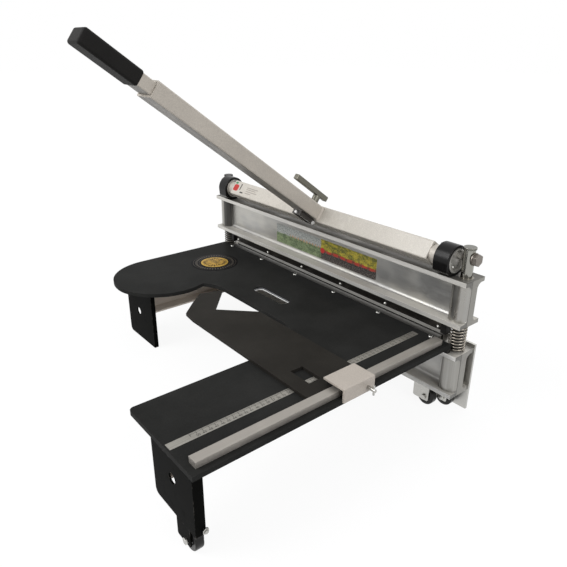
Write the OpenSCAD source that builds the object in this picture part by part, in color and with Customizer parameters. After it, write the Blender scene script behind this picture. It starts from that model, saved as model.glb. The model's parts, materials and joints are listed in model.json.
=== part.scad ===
// Bench shear for floor boards. A long lever turns a cross tube with two eccentric cams,
// the cams press the upper beam down its two guide posts, and the knife under that beam
// passes between two anvil bars. Two coil springs lift the beam again.
// Millimetres. X runs along the knife, +Y to the back, +Z up. The origin is the middle of
// the floor edge of the rear foot plate.

/* [Beams] */
// Length of the beams beyond the axis of each guide post
beam_end = 19; // [16:0.5:24]
// Width of the beam flanges
flange_w = 55; // [50:1:64]
// Height of the beam section
beam_h = 88; // [80:1:100]
// Thickness of the beam flanges
flange_t = 8; // [6:0.5:10]
// Thickness of the beam web
web_t = 6; // [4:0.5:10]
// Radius between web and flange
web_fillet_r = 8; // [4:0.5:12]
// Height of the base beam above the floor
base_z = 43; // [41:0.5:60]
// Height of the free space between the two beams with the lever at rest
beam_gap = 53.5; // [50:0.5:60]

/* [Guide posts] */
// Distance from each end of the knife to the axis of the guide post
post_set_off = 31; // [29:0.5:40]
// Diameter of a guide post
post_d = 20; // [16:0.5:22]
// Diameter of the round end columns between the flanges
column_d = 42; // [38:1:46]
// Outer diameter of the guide bushes
bush_d = 26; // [25:0.5:30]
// Depth of a guide bush in the beam
bush_depth = 18; // [12:1:24]
// Height of the post tops above the upper beam
post_rise = 54.5; // [52:0.5:70]
// Diameter of the cap on a post
cap_d = 23; // [21:0.5:26]
// Thickness of that cap
cap_t = 4; // [2:0.5:6]

/* [Springs] */
// Outer diameter of a lifting spring
spring_d = 31; // [29:0.5:32]
// Wire of the spring
spring_wire = 3; // [2:0.25:3.5]
// Number of turns
spring_turns = 9; // [7:1:10]

/* [Knife and anvil] */
// Length of cut, of the knife and of the anvil bars
cut_l = 660; // [560:1:800]
// Thickness of the knife
knife_t = 4; // [3:0.5:4.5]
// Height of the knife below the upper beam
knife_h = 30.9; // [28:0.1:34]
// Height of the ground bevel of the knife
bevel_h = 5; // [2:0.5:8]
// Height of the knife screws above the edge
knife_screw_up = 7; // [6.5:0.5:14]
// Distance of the outer screws from the ends of the knife
screw_end = 10; // [8:0.5:20]
// Number of screws in each row
screw_count = 6; // [4:1:6]
// Wall of the angle that carries the knife
carrier_t = 6; // [4:0.5:7]
// Width of its leg under the beam
carrier_w = 22; // [18:0.5:25]
// Full width of the anvil across both bars
anvil_w = 34.4; // [32:0.2:40]
// Slot between the anvil bars
anvil_slot = 5; // [5:0.1:7]
// Height of the anvil bars
anvil_h = 16; // [14:0.5:20]

/* [Cross tube, cams and lever] */
// Height of the pivot axis above the upper beam
pivot_rise = 35; // [34.5:0.1:36]
// Diameter of the pivot bolts
pivot_d = 12; // [10:0.5:12]
// Mean radius of the cams
cam_r = 27.7; // [27:0.1:29]
// Throw from the pivot axis to the cam centre
cam_throw = 14.3; // [13.5:0.1:14.5]
// Beam travel for each full radian of lever travel
lift_rate = 12; // [10:0.1:13]
// Width of a cam
cam_w = 30.5; // [24:0.5:31]
// Radius of the hub in the cam
hub_r = 22; // [21:0.1:23]
// Side of the square cross tube
tube_s = 36; // [32:0.5:37]
// Wall of the cross tube
tube_wall = 4; // [3:0.5:6]
// Diameter of the round collars of the cam hubs
collar_d = 34; // [30:0.5:36]
// Length of a collar
collar_l = 17; // [14:0.5:20]
// Rise of the lever above level, at rest
lever_rise = 36.1; // [34:0.1:38]
// Length of the outer lever tube
lever_l = 438; // [380:1:520]
// Height of the outer lever tube
lever_h = 30; // [28:0.5:32]
// Width of the outer lever tube, across the machine
lever_w = 47.5; // [44:0.5:50]
// Wall of the lever tube
lever_wall = 3.7; // [3:0.1:4.2]
// Length that the telescopic handle pulls out
pull_l = 180; // [100:1:200]
// Length of the grip
grip_l = 104; // [95:1:130]
// Rubber around the handle bar
grip_wall = 2.4; // [2:0.1:4]
// Gap between the grip and the lever tube with the handle in
grip_gap = 24; // [15:1:40]
// Reach of the bracket under the lever, from the tube axis
bracket_reach = 62; // [56:1:70]
// Height of that bracket below the lever
bracket_h = 10.5; // [9.5:0.1:10.8]
// Distance of the clamp screw from the tube axis
clamp_reach = 32; // [30:0.5:40]
// Length of the bar on the clamp screw
clamp_bar_l = 103; // [90:1:110]
// Diameter of the clamp screw
clamp_d = 10; // [8:0.5:12]

/* [Table] */
// Width of the table beyond each end of the knife
table_over = 32; // [24:0.5:40]
// Thickness of the table plate
table_t = 8; // [5:0.5:9]
// Reach of the left lobe in front of the knife
lobe_reach = 373; // [350:1:390]
// Width of the left lobe
lobe_w = 187; // [185:1:200]
// Reach of the right arm in front of the knife
arm_reach = 549; // [520:1:600]
// Width of the right arm
arm_w = 181; // [178:1:200]
// Reach of the back strip in front of the knife
strip_reach = 196.5; // [180:0.5:205]
// Radius of the two inside corners
inner_r = 76; // [50:1:80]
// Large outside radius of the lobe
lobe_outer_r = 110; // [90:1:110]
// Small outside radius of the lobe
lobe_inner_r = 70; // [60:1:70]
// Length of the hand slot
slot_l = 105; // [90:1:115]
// Width of the hand slot
slot_w = 27; // [24:1:32]
// Distance of the hand slot in front of the knife
slot_reach = 137; // [130:1:140]

/* [Legs and casters] */
// Thickness of the leg plates
leg_t = 3; // [2.5:0.5:5]
// Width of the left leg
left_leg_w = 121; // [110:1:125]
// Reach of the left leg in front of the knife
left_leg_reach = 325; // [300:1:340]
// Width of the right leg
right_leg_w = 110; // [100:1:120]
// Radius of the holes in the legs
leg_hole_r = 8.5; // [6:0.5:10]
// Height of the braces under the table
brace_h = 55; // [45:1:60]
// Width of the braces
brace_w = 35; // [30:1:42]
// Wall of the braces
brace_t = 4; // [3:0.5:5]
// Thickness of the rear foot plate
foot_plate_t = 5; // [4:0.5:8]
// Height of the rear foot plate
foot_plate_h = 138.5; // [136:0.5:146]
// Radius of the caster wheels
wheel_r = 18; // [16:0.5:19]
// Width of the caster wheels
wheel_w = 14; // [12:0.5:14]
// Diameter of the caster axles
axle_d = 6; // [5:0.5:8]

/* [Fence] */
// Width of the fence rail
rail_w = 16.5; // [14:0.5:20]
// Height of the fence rail
rail_h = 10; // [8:0.5:12]
// Distance of the rail from the right edge of the table
rail_inset = 10; // [8:0.5:14]
// Width of the scale strip
scale_w = 14.5; // [12:0.5:18]
// Thickness of the fence arm
fence_t = 5.5; // [5:0.5:6]
// Length of the fence slider along the rail
slider_l = 67; // [60:1:80]
// Thickness of the bent slider plate
slider_t = 3.5; // [3:0.5:5]
// Reach of the front edge of the fence arm in front of the knife
fence_reach = 333; // [320:1:345]
// Depth of the fence arm
fence_depth = 121; // [110:1:125]

/* [Hidden] */
$fn = 48;
// Running fit, radial, of a shaft in its bore
fit = 0.05;
// Gap beside pieces that slide or roll past each other
slip = 0.3;
// Gap around a screw in its hole
screw_slack = 0.1;
// Overrun of every cut
over = 1;
// Screws: shank radius, head radius and head height
screw_r = 2.5;
screw_head_r = 4.5;
screw_head_h = 2.8;
small_head_r = 3.8;
// Hexagon across flats, as a multiple of the bolt diameter, and head height likewise
hex_share = 1.6;
hex_height_share = 0.66;
axle_head_share = 0.6;

// Top of a button head as a share of its radius
head_top_share = 0.78;

// Overhang of the foot plate at each end, places of its screws and their depth in the beam
foot_over = 2;
foot_screw_shares = [-0.375, -0.125, 0.125, 0.375];
foot_screw_depth = 10;
// Slack of the post bore between the bushes
post_bore_slack = 1;
// Washer under the head of a pivot bolt
washer_t = 2;
washer_share = 0.95;

beam_y = -(flange_w + foot_plate_t) / 2;
base_top = base_z + beam_h;
upper_z = base_top + beam_gap;
upper_top = upper_z + beam_h;
post_x = cut_l / 2 + post_set_off;
beam_l = 2 * (post_x + beam_end);
post_top = upper_top + post_rise;
pivot_z = upper_top + pivot_rise;
table_top = base_top + anvil_h;
table_bottom = table_top - table_t;
table_w = cut_l + 2 * table_over;
anvil_bar_w = (anvil_w - anvil_slot) / 2;
knife_z = upper_z - knife_h;
screw_pitch = (cut_l - 2 * screw_end) / (screw_count - 1);
screw_xs = [for (i = [0 : screw_count - 1]) (i - (screw_count - 1) / 2) * screw_pitch];

// Free height between the edge of the knife and its carrier, and the place of the carrier bolts
carrier_clear = 3.5;
carrier_bolt_share = 0.65;
// Blocks under the upper beam at both ends of the knife
end_block_l = 11;
end_block_w = 20;
end_block_chamfer = 2;

// Reach of the cam below the pivot axis when the lever has gone down by a degrees. Over the
// working arc it grows evenly with the angle, so the beam follows the lever at one rate.
rest_lift = pivot_rise - slip;
throw_at = acos((rest_lift - cam_r) / cam_throw);
work_from = -40;
work_to = 43;
work_steps = 24;
function reach(a) = rest_lift + lift_rate * a * PI / 180;
working_arc = [for (i = [0 : work_steps])
    let (a = work_from + (work_to - work_from) * i / work_steps, down = -90 - a)
    [reach(a) * cos(down) + lift_rate * sin(down), reach(a) * sin(down) - lift_rate * cos(down)]];
cam_y = -cam_throw * sin(throw_at);
cam_z = -cam_throw * cos(throw_at);
// Space between a cam and the guide post
cam_gap = 3.5;
cam_in = post_x - post_d / 2 - cam_gap - cam_w;
tube_l = 2 * (cam_in - collar_l);
tube_corner_r = 3;
plug_l = 20;
stub_d = 24;
stub_depth = 5;
journal_depth = 8;
// Hub: depth of the dish, width of its rim and wall of the boss
hub_dish = 5;
hub_rim = 3.5;
boss_wall = 1.5;
socket_floor = 2;

// Seat plate between the cross tube and the lever tube
seat_t = 6;
lever_corner_r = 3;
lever_start = tube_s / 2 + seat_t;
lever_end = lever_start + lever_l;
bar_w = lever_w - 2 * lever_wall - 2 * slip;
bar_h = lever_h - 2 * lever_wall - 2 * slip;
// Length of the handle bar that stays in the lever, its wall and its corners
bar_hold_l = 60;
bar_overlap = pull_l + bar_hold_l;
bar_l = bar_overlap + grip_gap + grip_l - grip_wall;
bar_wall = 3;
bar_corner_r = 2.5;
grip_corner_r = 5;
// Bracket under the lever and the long bolt in it
bracket_w = 24;
bracket_wall = 2.5;
bracket_back = 12;
bracket_low = -lever_h / 2 - bracket_h;
long_bolt_r = 2.5;
long_head_r = 3.2;
long_head_l = 4;
long_bolt_z = bracket_low + 1.6 * long_bolt_r;
// Clamp screw, the bar on it and the nut under the lever
clamp_rise = 17;
clamp_boss_share = 0.8;
clamp_bar_w = 12;
clamp_bar_h = 11;
clamp_offset = 24.5;
nut_h = 3.5;

left_x = -table_w / 2;
right_x = table_w / 2;
lobe_x = left_x + lobe_w;
arm_x = right_x - arm_w;
arm_corner_r = 8;
slot_x = -6.75;
slot_corner_r = 10.8;
packer_h = table_bottom - base_top;
left_leg_inset = 44.5;
right_leg_inset = 2;
left_leg_x = left_x + left_leg_inset;
right_leg_x = right_x - right_leg_w - right_leg_inset;
right_leg_z = base_z;
left_flange = 10;
right_flange = 16;
leg_corner_r = 10;
left_hole_share = 0.45;
right_hole_share = 0.5;
left_hole_over = 14;
right_hole_over = 7;
brace_z = table_bottom - brace_h;
right_brace_inset = 2;
left_brace_x = left_leg_x + left_leg_w - brace_w;
right_brace_x = right_leg_x + right_brace_inset;

// Rail: gaps to the front edge of the arm and to the knife, and the places of its screws
rail_end_gap = 11;
rail_back = 32;
rail_screw_shares = [0.08, 0.5, 0.92];
rail_x = right_x - rail_inset - rail_w;
rail_front = arm_reach - rail_end_gap;
scale_inset = 76;
scale_x = right_x - scale_inset;
scale_t = 1;
slider_set_back = 42;
slider_front = fence_reach - slider_set_back;
slider_rise = 6.5;
slider_cover = 15.5;
slider_drop = 4;
slider_bend_r = 2;
slider_right = right_x + slip + slider_t;
slider_left = rail_x - slider_cover;
slider_z = table_top + rail_h + slider_rise;
slider_low = table_top - slider_drop;
block_set_back = 6;
block_inset = 2;
fence_z = table_top + slip;
fence_screw_l = slider_z + slider_t / 2 - fence_z;
fence_screw_in = 8;
fence_screw_shares = [0.25, 0.75];
nose_shares = [[-0.26, 0.03], [-0.55, 0.33], [-0.79, 0.62], [-0.67, 1]];
notch_shares = [[-0.09, 0.48], [0.43, 1]];
// Window in the fence arm over the scale strip
pocket_w = 45;
pocket_d = 25;
pocket_from_slider = 62;
pocket_from_front = 28;
pocket_x = slider_left - pocket_from_slider;
pocket_y = -fence_reach + pocket_from_front;
// Thumb screw in the wall of the slider
thumb_from_end = 16;
thumb_y = slider_front - slider_l + thumb_from_end;
thumb_r = 3;
thumb_stem_l = 16;
thumb_pin_r = 1.75;
thumb_pin_l = 17;
thumb_pin_in = 3.5;

fork_wall = 2.5;
fork_gap = 1.2;
fork_back = 25;
fork_front = 10;
fork_drop = 7;
fork_corner = 4;
fork_w = wheel_w + 2 * (fork_gap + fork_wall);
wheel_core_share = 0.62;
wheel_dish_share = 0.85;
tread_r = 2;
// Places of the casters, inwards from the right guide post and from the edge of the right leg
front_caster_in = 39;
rear_caster_in = 16;
caster_pair_y = 13;
leg_caster_in = 27;
caster_at = [[post_x - front_caster_in, -caster_pair_y, base_z],
             [post_x - rear_caster_in, caster_pair_y, base_z],
             [right_leg_x + right_leg_w - leg_caster_in, -arm_reach + fork_w / 2 + slip, right_leg_z]];

// Lifting spring: one tube of six sides, eight rings to a turn, closer turns at both ends.
rings = 8;
sides = 6;
end_gap = 0.6;
spring_l = beam_gap - 2 * slip;
spring_mean = (spring_d - spring_wire) / 2;
end_pitch = spring_wire + end_gap;
mid_pitch = (spring_l - spring_wire - 2 * end_pitch) / (spring_turns - 2);
function spring_z(u) = spring_wire / 2 + (u < 1 ? u * end_pitch
    : u > spring_turns - 1 ? spring_l - spring_wire - (spring_turns - u) * end_pitch
    : end_pitch + (u - 1) * mid_pitch);
function spring_at(u) = [spring_mean * cos(360 * u), spring_mean * sin(360 * u), spring_z(u)];
function tangent(u) = [-sin(360 * u), cos(360 * u), 0];
spring_ring_u = [for (i = [0 : spring_turns * rings]) i / rings];
spring_path = concat([spring_at(0) - tangent(0) * spring_wire],
    [for (u = spring_ring_u) spring_at(u)],
    [spring_at(spring_turns) + tangent(spring_turns) * spring_wire]);
spring_turn_at = concat([0], spring_ring_u, [spring_turns]);
spring_points = [for (i = [0 : len(spring_path) - 1], k = [0 : sides - 1])
    let (u = 360 * spring_turn_at[i], a = 360 * k / sides, r = spring_wire / 2)
    spring_path[i] + [cos(u) * cos(a) * r, sin(u) * cos(a) * r, sin(a) * r]];
spring_faces = concat(
    [[for (k = [0 : sides - 1]) k]],
    [for (i = [0 : len(spring_path) - 2], k = [0 : sides - 1], half = [0, 1])
        let (a = i * sides + k, b = i * sides + (k + 1) % sides)
        half == 0 ? [a, a + sides, b] : [b, a + sides, b + sides]],
    [[for (k = [sides - 1 : -1 : 0]) (len(spring_path) - 1) * sides + k]]);
spring_self_gap = min([for (i = [0 : len(spring_path) - 1], j = [i + rings - 2 : 1 : len(spring_path) - 1])
    norm(spring_path[i] - spring_path[j]) - spring_wire]);
echo(spring_self_gap = spring_self_gap);

module at_knife() {
    translate([0, beam_y, 0]) children();
}

module at_pivot() {
    translate([0, beam_y, pivot_z]) children();
}

// Local -Y runs out along the lever, local +Z is its upper face, the origin is the tube axis.
module at_lever() {
    at_pivot() translate([0, cam_y, cam_z]) rotate([-lever_rise, 0, 0]) children();
}

module both_ends() {
    for (side = [-1, 1]) translate([side * post_x, 0, 0]) children();
}

module along_x(l) {
    rotate([90, 0, 90]) translate([0, 0, -l / 2]) linear_extrude(l) children();
}

module rod_x(r, l) {
    rotate([0, 90, 0]) cylinder(r = r, h = l);
}

module rod_y(r, l) {
    rotate([-90, 0, 0]) cylinder(r = r, h = l);
}

module hexagon(across, h) {
    cylinder(r = across / 2 / cos(30), h = h, $fn = 6);
}

module button_screw(shank_l, head_r = screw_head_r) {
    cylinder(r = head_r, h = screw_head_h / 2);
    translate([0, 0, screw_head_h / 2]) cylinder(r = head_r * head_top_share, h = screw_head_h / 2);
    translate([0, 0, -shank_l]) cylinder(r = screw_r, h = shank_l);
}

module corner_fill(r) {
    difference() {
        square(r);
        translate([r, r]) circle(r);
    }
}

module round_box(w, h, r) {
    square([w - 2 * r, h], center = true);
    square([w, h - 2 * r], center = true);
    for (x = [-1, 1], y = [-1, 1]) translate([x * (w / 2 - r), y * (h / 2 - r)]) circle(r);
}

module beam_section() {
    flange_in = beam_h - flange_t;
    translate([-flange_w / 2, 0]) square([flange_w, flange_t]);
    translate([-flange_w / 2, flange_in]) square([flange_w, flange_t]);
    translate([-web_t / 2, 0]) square([web_t, beam_h]);
    for (side = [0, 1]) mirror([side, 0]) {
        translate([web_t / 2, flange_t]) corner_fill(web_fillet_r);
        translate([web_t / 2, flange_in]) mirror([0, 1]) corner_fill(web_fillet_r);
    }
}

// One beam: the section along X, with a round column at each end for the posts.
module beam_solid() {
    along_x(beam_l) beam_section();
    intersection() {
        both_ends() cylinder(d = column_d, h = beam_h);
        translate([-beam_l / 2, -flange_w / 2, 0]) cube([beam_l, flange_w, beam_h]);
    }
}

module rear_foot_plate() {
    w = beam_l + 2 * foot_over;
    color("silver") translate([-w / 2, -foot_plate_t / 2, 0]) difference() {
        cube([w, foot_plate_t, foot_plate_h]);
        translate([w / 2, 0, 0]) foot_screw_places() translate([0, -over, 0])
            rod_y(screw_r + screw_slack, foot_plate_t + 2 * over);
    }
}

module foot_screw_places() {
    for (share = foot_screw_shares, z = [base_z + flange_t / 2, base_top - flange_t / 2])
        translate([share * beam_l, 0, z]) children();
}

module foot_plate_screws() {
    color("gray") foot_screw_places() translate([0, foot_plate_t / 2, 0])
        rotate([-90, 0, 0]) button_screw(foot_plate_t + foot_screw_depth);
}

module base_beam() {
    color("silver") at_knife() difference() {
        translate([0, 0, base_z]) beam_solid();
        both_ends() translate([0, 0, base_z - over]) cylinder(r = post_d / 2 + fit, h = beam_h + 2 * over);
        table_screw_places() cylinder(r = screw_r + screw_slack, h = 2 * flange_t, center = true);
        translate([0, flange_w / 2 - foot_screw_depth - over, 0]) foot_screw_places()
            rod_y(screw_r + screw_slack, foot_screw_depth + 2 * over);
    }
}

module table_screw_places() {
    for (x = screw_xs) translate([x, -(flange_w + anvil_w) / 4, base_top]) children();
}

module post(side) {
    color("lightgray") at_knife() translate([side * post_x, 0, 0]) difference() {
        translate([0, 0, base_z]) cylinder(d = post_d, h = post_top - cap_t - base_z);
        translate([-post_d, 0, pivot_z]) rod_x(pivot_d / 2 + screw_slack, 2 * post_d);
    }
}

module post_left() {
    post(-1);
}

module post_right() {
    post(1);
}

module post_caps() {
    color("silver") at_knife() both_ends() translate([0, 0, post_top - cap_t])
        cylinder(d = cap_d, h = cap_t);
}

module anvil_bar(side) {
    y = side < 0 ? -anvil_w / 2 : anvil_slot / 2;
    color("darkgray") at_knife() translate([-cut_l / 2, y, base_top]) cube([cut_l, anvil_bar_w, anvil_h]);
}

module anvil_front() {
    anvil_bar(-1);
}

module anvil_rear() {
    anvil_bar(1);
}

module table_packer() {
    w = (flange_w - anvil_w) / 2;
    color("dimgray") at_knife() difference() {
        translate([-table_w / 2, -flange_w / 2, base_top]) cube([table_w, w, packer_h]);
        table_screw_places() translate([0, 0, -over])
            cylinder(r = screw_r + screw_slack, h = packer_h + 2 * over);
    }
}

// Plan of the table: back strip, left lobe and right arm, with two hollow inside corners.
module table_plan() {
    back = -anvil_w / 2;
    difference() {
        union() {
            translate([left_x, -strip_reach]) square([table_w, strip_reach + back]);
            translate([left_x, -lobe_reach + lobe_outer_r])
                square([lobe_w, lobe_reach - lobe_outer_r + back]);
            translate([left_x + lobe_outer_r, -lobe_reach + lobe_outer_r]) circle(lobe_outer_r);
            translate([lobe_x - lobe_inner_r, -lobe_reach + lobe_inner_r]) circle(lobe_inner_r);
            translate([lobe_x - lobe_inner_r, -lobe_reach + lobe_inner_r])
                square([lobe_inner_r, lobe_reach - lobe_inner_r + back]);
            translate([left_x + lobe_outer_r, -lobe_reach])
                square([lobe_w - lobe_outer_r - lobe_inner_r, lobe_reach / 2]);
            translate([arm_x, -arm_reach + arm_corner_r]) square([arm_w, arm_reach - arm_corner_r + back]);
            translate([arm_x + arm_corner_r, -arm_reach]) square([arm_w - arm_corner_r, arm_corner_r]);
            translate([arm_x + arm_corner_r, -arm_reach + arm_corner_r]) circle(arm_corner_r);
            translate([lobe_x, -strip_reach]) mirror([0, 1]) corner_fill(inner_r);
            translate([arm_x, -strip_reach]) rotate(180) corner_fill(inner_r);
        }
        translate([slot_x, -slot_reach]) round_box(slot_l, slot_w, slot_corner_r);
    }
}

module table() {
    color("#343230") at_knife() difference() {
        translate([0, 0, table_bottom]) linear_extrude(table_t) table_plan();
        table_screw_places() translate([0, 0, packer_h - over])
            cylinder(r = screw_r + screw_slack, h = table_t + 2 * over);
        translate([scale_x, -arm_reach + leg_t, table_top - scale_t])
            cube([scale_w, arm_reach - leg_t - rail_back + slip, scale_t + over]);
        rail_screw_places() translate([0, 0, -table_t - over])
            cylinder(r = screw_r + screw_slack, h = table_t + 2 * over);
    }
}

module table_screws() {
    color("silver") at_knife() table_screw_places() translate([0, 0, anvil_h])
        button_screw(anvil_h + flange_t);
}

module scale_strip() {
    color("#94918a") at_knife()
        translate([scale_x + slip / 2, -arm_reach + leg_t + slip, table_top - scale_t])
            cube([scale_w - slip, arm_reach - leg_t - rail_back - slip, scale_t]);
}

// A leg plate in the XZ plane with one rounded lower corner and a hole.
module leg_plan(w, h, hole_x, hole_z) {
    r = leg_corner_r;
    difference() {
        union() {
            translate([0, r]) square([w, h - r]);
            translate([r, 0]) square([w - r, r]);
            translate([r, r]) circle(r);
        }
        translate([hole_x, hole_z]) circle(leg_hole_r);
    }
}

module leg(x, y, z, w, flange, hole_x, hole_z) {
    h = table_bottom - z;
    color("#2a2826") at_knife() translate([x, y, z]) {
        translate([0, leg_t, 0]) rotate([90, 0, 0]) linear_extrude(leg_t) leg_plan(w, h, hole_x, hole_z);
        translate([w - leg_t, 0, 0]) cube([leg_t, flange, h]);
    }
}

module leg_left() {
    leg(left_leg_x, -left_leg_reach, 0, left_leg_w, left_flange, left_hole_share * left_leg_w,
        brace_h + left_hole_over);
}

module leg_right() {
    leg(right_leg_x, -arm_reach, right_leg_z, right_leg_w, right_flange,
        right_hole_share * right_leg_w, brace_h + right_hole_over);
}

// A channel that is open to +X, from the back of a leg to the base beam.
module brace(x, reach) {
    l = reach - leg_t - flange_w / 2;
    color("#8d8680") at_knife() translate([x, -reach + leg_t, brace_z]) {
        cube([brace_t, l, brace_h]);
        cube([brace_w - leg_t - slip, l, brace_t]);
        translate([0, 0, brace_h - brace_t]) cube([brace_w - leg_t - slip, l, brace_t]);
    }
}

module brace_left() {
    brace(left_brace_x, left_leg_reach);
}

module brace_right() {
    brace(right_brace_x, arm_reach);
}

module rail_screw_places() {
    for (share = rail_screw_shares)
        translate([rail_x + rail_w / 2, -rail_front + share * (rail_front - rail_back), table_top])
            children();
}

module fence_rail() {
    color("#a69e98") at_knife() difference() {
        translate([rail_x, -rail_front, table_top]) cube([rail_w, rail_front - rail_back, rail_h]);
        rail_screw_places() translate([0, 0, -over])
            cylinder(r = screw_r + screw_slack, h = rail_h / 2 + over);
    }
}

module rail_screws() {
    color("gray") at_knife() rail_screw_places() translate([0, 0, -table_t])
        mirror([0, 0, 1]) button_screw(table_t + rail_h / 2);
}

module caster_places(which = [0, 1, 2]) {
    at_knife() for (i = which) translate(caster_at[i]) children();
}

module fork_cheek() {
    drop = base_z - wheel_r + fork_drop;
    corner = fork_corner;
    back_l = fork_back;
    front_l = fork_front;
    difference() {
        union() {
            translate([-back_l, -drop + corner]) square([back_l + front_l, drop - corner]);
            translate([-back_l + corner, -drop]) square([back_l + front_l - 2 * corner, corner]);
            for (x = [-back_l + corner, front_l - corner]) translate([x, -drop + corner]) circle(corner);
        }
        translate([0, wheel_r - base_z]) circle(axle_d / 2 + fit);
    }
}

module fork() {
    for (y = [-fork_w / 2 + fork_wall, fork_w / 2])
        translate([0, y, 0]) rotate([90, 0, 0]) linear_extrude(fork_wall) fork_cheek();
    translate([-fork_back, -fork_w / 2, -fork_wall]) cube([fork_back + fork_front, fork_w, fork_wall]);
}

module caster_forks() {
    color("#9b9a96") caster_places([0, 1]) fork();
}

module fork_leg() {
    color("#2a2826") caster_places([2]) fork();
}

module caster_axles() {
    head = axle_head_share * axle_d;
    across = hex_share * axle_d;
    color("silver") caster_places() translate([0, -fork_w / 2, wheel_r - base_z]) {
        rod_y(axle_d / 2, fork_w);
        rotate([90, 0, 0]) hexagon(across, head);
        translate([0, fork_w, 0]) rotate([-90, 0, 0]) hexagon(across, head);
    }
}

module caster_at_wheel(i) {
    at_knife() translate(caster_at[i]) translate([0, -wheel_w / 2, wheel_r - base_z]) children();
}

module wheel_core(i) {
    color("dimgray") caster_at_wheel(i) difference() {
        union() {
            rod_y(wheel_r * wheel_core_share, wheel_w);
            translate([0, -fork_gap + slip, 0]) rod_y(axle_d, wheel_w + 2 * (fork_gap - slip));
        }
        translate([0, -2 * over, 0]) rod_y(axle_d / 2 + fit, wheel_w + 4 * over);
        for (y = [-over, wheel_w - 2 * over]) translate([0, y, 0]) difference() {
            rod_y(wheel_r * wheel_core_share * wheel_dish_share, 3 * over);
            translate([0, -over, 0]) rod_y(axle_d, 5 * over);
        }
    }
}

module tyre(i) {
    color("#1c1b1a") caster_at_wheel(i) rotate([-90, 0, 0]) rotate_extrude() difference() {
        union() {
            translate([wheel_r * wheel_core_share, 0])
                square([wheel_r * (1 - wheel_core_share) - tread_r, wheel_w]);
            translate([wheel_r - tread_r, tread_r]) square([tread_r, wheel_w - 2 * tread_r]);
            for (y = [tread_r, wheel_w - tread_r]) translate([wheel_r - tread_r, y]) circle(tread_r);
        }
    }
}

module base_wheel_front() {
    wheel_core(0);
}

module base_wheel_rear() {
    wheel_core(1);
}

module leg_wheel() {
    wheel_core(2);
}

module tyre_front() {
    tyre(0);
}

module tyre_rear() {
    tyre(1);
}

module tyre_leg() {
    tyre(2);
}

// Hexagon bolt through the post, its end is the journal of the cam hub.
module pivot_bolt(side) {
    head = hex_height_share * pivot_d;
    out = post_d / 2;
    color("#8c8a86") at_pivot() mirror([side < 0 ? 1 : 0, 0, 0]) translate([post_x, 0, 0]) {
        translate([cam_in + journal_depth - post_x, 0, 0])
            rod_x(pivot_d / 2, out + washer_t + post_x - cam_in - journal_depth);
        translate([out, 0, 0]) rod_x(pivot_d * washer_share, washer_t);
        translate([out + washer_t, 0, 0]) rotate([0, 90, 0]) hexagon(hex_share * pivot_d, head);
    }
}

module pivot_bolt_left() {
    pivot_bolt(-1);
}

module pivot_bolt_right() {
    pivot_bolt(1);
}

module spring(side) {
    color("#3a3835") at_knife() translate([side * post_x, 0, base_top + slip])
        polyhedron(points = spring_points, faces = spring_faces, convexity = 10);
}

module spring_left() {
    spring(-1);
}

module spring_right() {
    spring(1);
}

module upper_beam() {
    color("#a5a39b") at_knife() difference() {
        translate([0, 0, upper_z]) beam_solid();
        both_ends() translate([0, 0, upper_z - over])
            cylinder(r = post_d / 2 + post_bore_slack, h = beam_h + 2 * over);
        both_ends() for (z = [upper_z - over, upper_top - bush_depth])
            translate([0, 0, z]) cylinder(d = bush_d, h = bush_depth + over);
        carrier_bolt_places() translate([0, 0, -over])
            cylinder(r = screw_r + screw_slack, h = flange_t + 2 * over);
    }
}

module guide_bushes() {
    color("#b08d57") at_knife() both_ends() for (z = [upper_z, upper_top - bush_depth])
        translate([0, 0, z]) difference() {
            cylinder(d = bush_d, h = bush_depth);
            translate([0, 0, -over]) cylinder(r = post_d / 2 + fit, h = bush_depth + 2 * over);
        }
}

module carrier_bolt_places() {
    for (x = screw_xs) translate([x, knife_t / 2 + carrier_bolt_share * carrier_w, upper_z]) children();
}

module knife_screw_places() {
    for (x = screw_xs) translate([x, -knife_t / 2, knife_z + knife_screw_up]) children();
}

// Angle under the beam, behind the knife.
module knife_carrier() {
    clear = carrier_clear;
    color("#55534f") at_knife() difference() {
        translate([-cut_l / 2, knife_t / 2, knife_z + clear]) union() {
            cube([cut_l, carrier_t, knife_h - clear]);
            translate([0, 0, knife_h - clear - carrier_t]) cube([cut_l, carrier_w, carrier_t]);
        }
        carrier_bolt_places() translate([0, 0, -carrier_t - over])
            cylinder(r = screw_r + screw_slack, h = carrier_t + 2 * over);
        knife_screw_places() rod_y(screw_r + screw_slack, knife_t + carrier_t + over);
    }
}

module carrier_bolts() {
    color("gray") at_knife() carrier_bolt_places() translate([0, 0, flange_t])
        button_screw(flange_t + carrier_t);
}

// Blocks that close the ends of the knife, with both lower corners cut off.
module end_blocks() {
    w = end_block_w / 2;
    cut = end_block_chamfer;
    color("#242322") at_knife() for (side = [0, 1]) mirror([side, 0, 0])
        translate([cut_l / 2 + slip + end_block_l / 2, 0, knife_z]) along_x(end_block_l)
            polygon([[-w + cut, 0], [w - cut, 0], [w, cut], [w, knife_h], [-w, knife_h], [-w, cut]]);
}

// The knife: a long strip with the bevel ground on its front face.
module knife() {
    color("#262422") at_knife() difference() {
        translate([0, 0, knife_z]) along_x(cut_l)
            polygon([[knife_t / 2, 0], [knife_t / 2, knife_h],
                     [-knife_t / 2, knife_h], [-knife_t / 2, bevel_h]]);
        knife_screw_places() translate([0, -over, 0]) rod_y(screw_r + screw_slack, knife_t + 2 * over);
    }
}

module knife_screws() {
    color("silver") at_knife() knife_screw_places() rotate([90, 0, 0])
        button_screw(knife_t + carrier_t, small_head_r);
}

module cross_tube() {
    color("#ded5cd") at_lever() along_x(tube_l) difference() {
        round_box(tube_s, tube_s, tube_corner_r);
        square(tube_s - 2 * tube_wall, center = true);
    }
}

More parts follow.
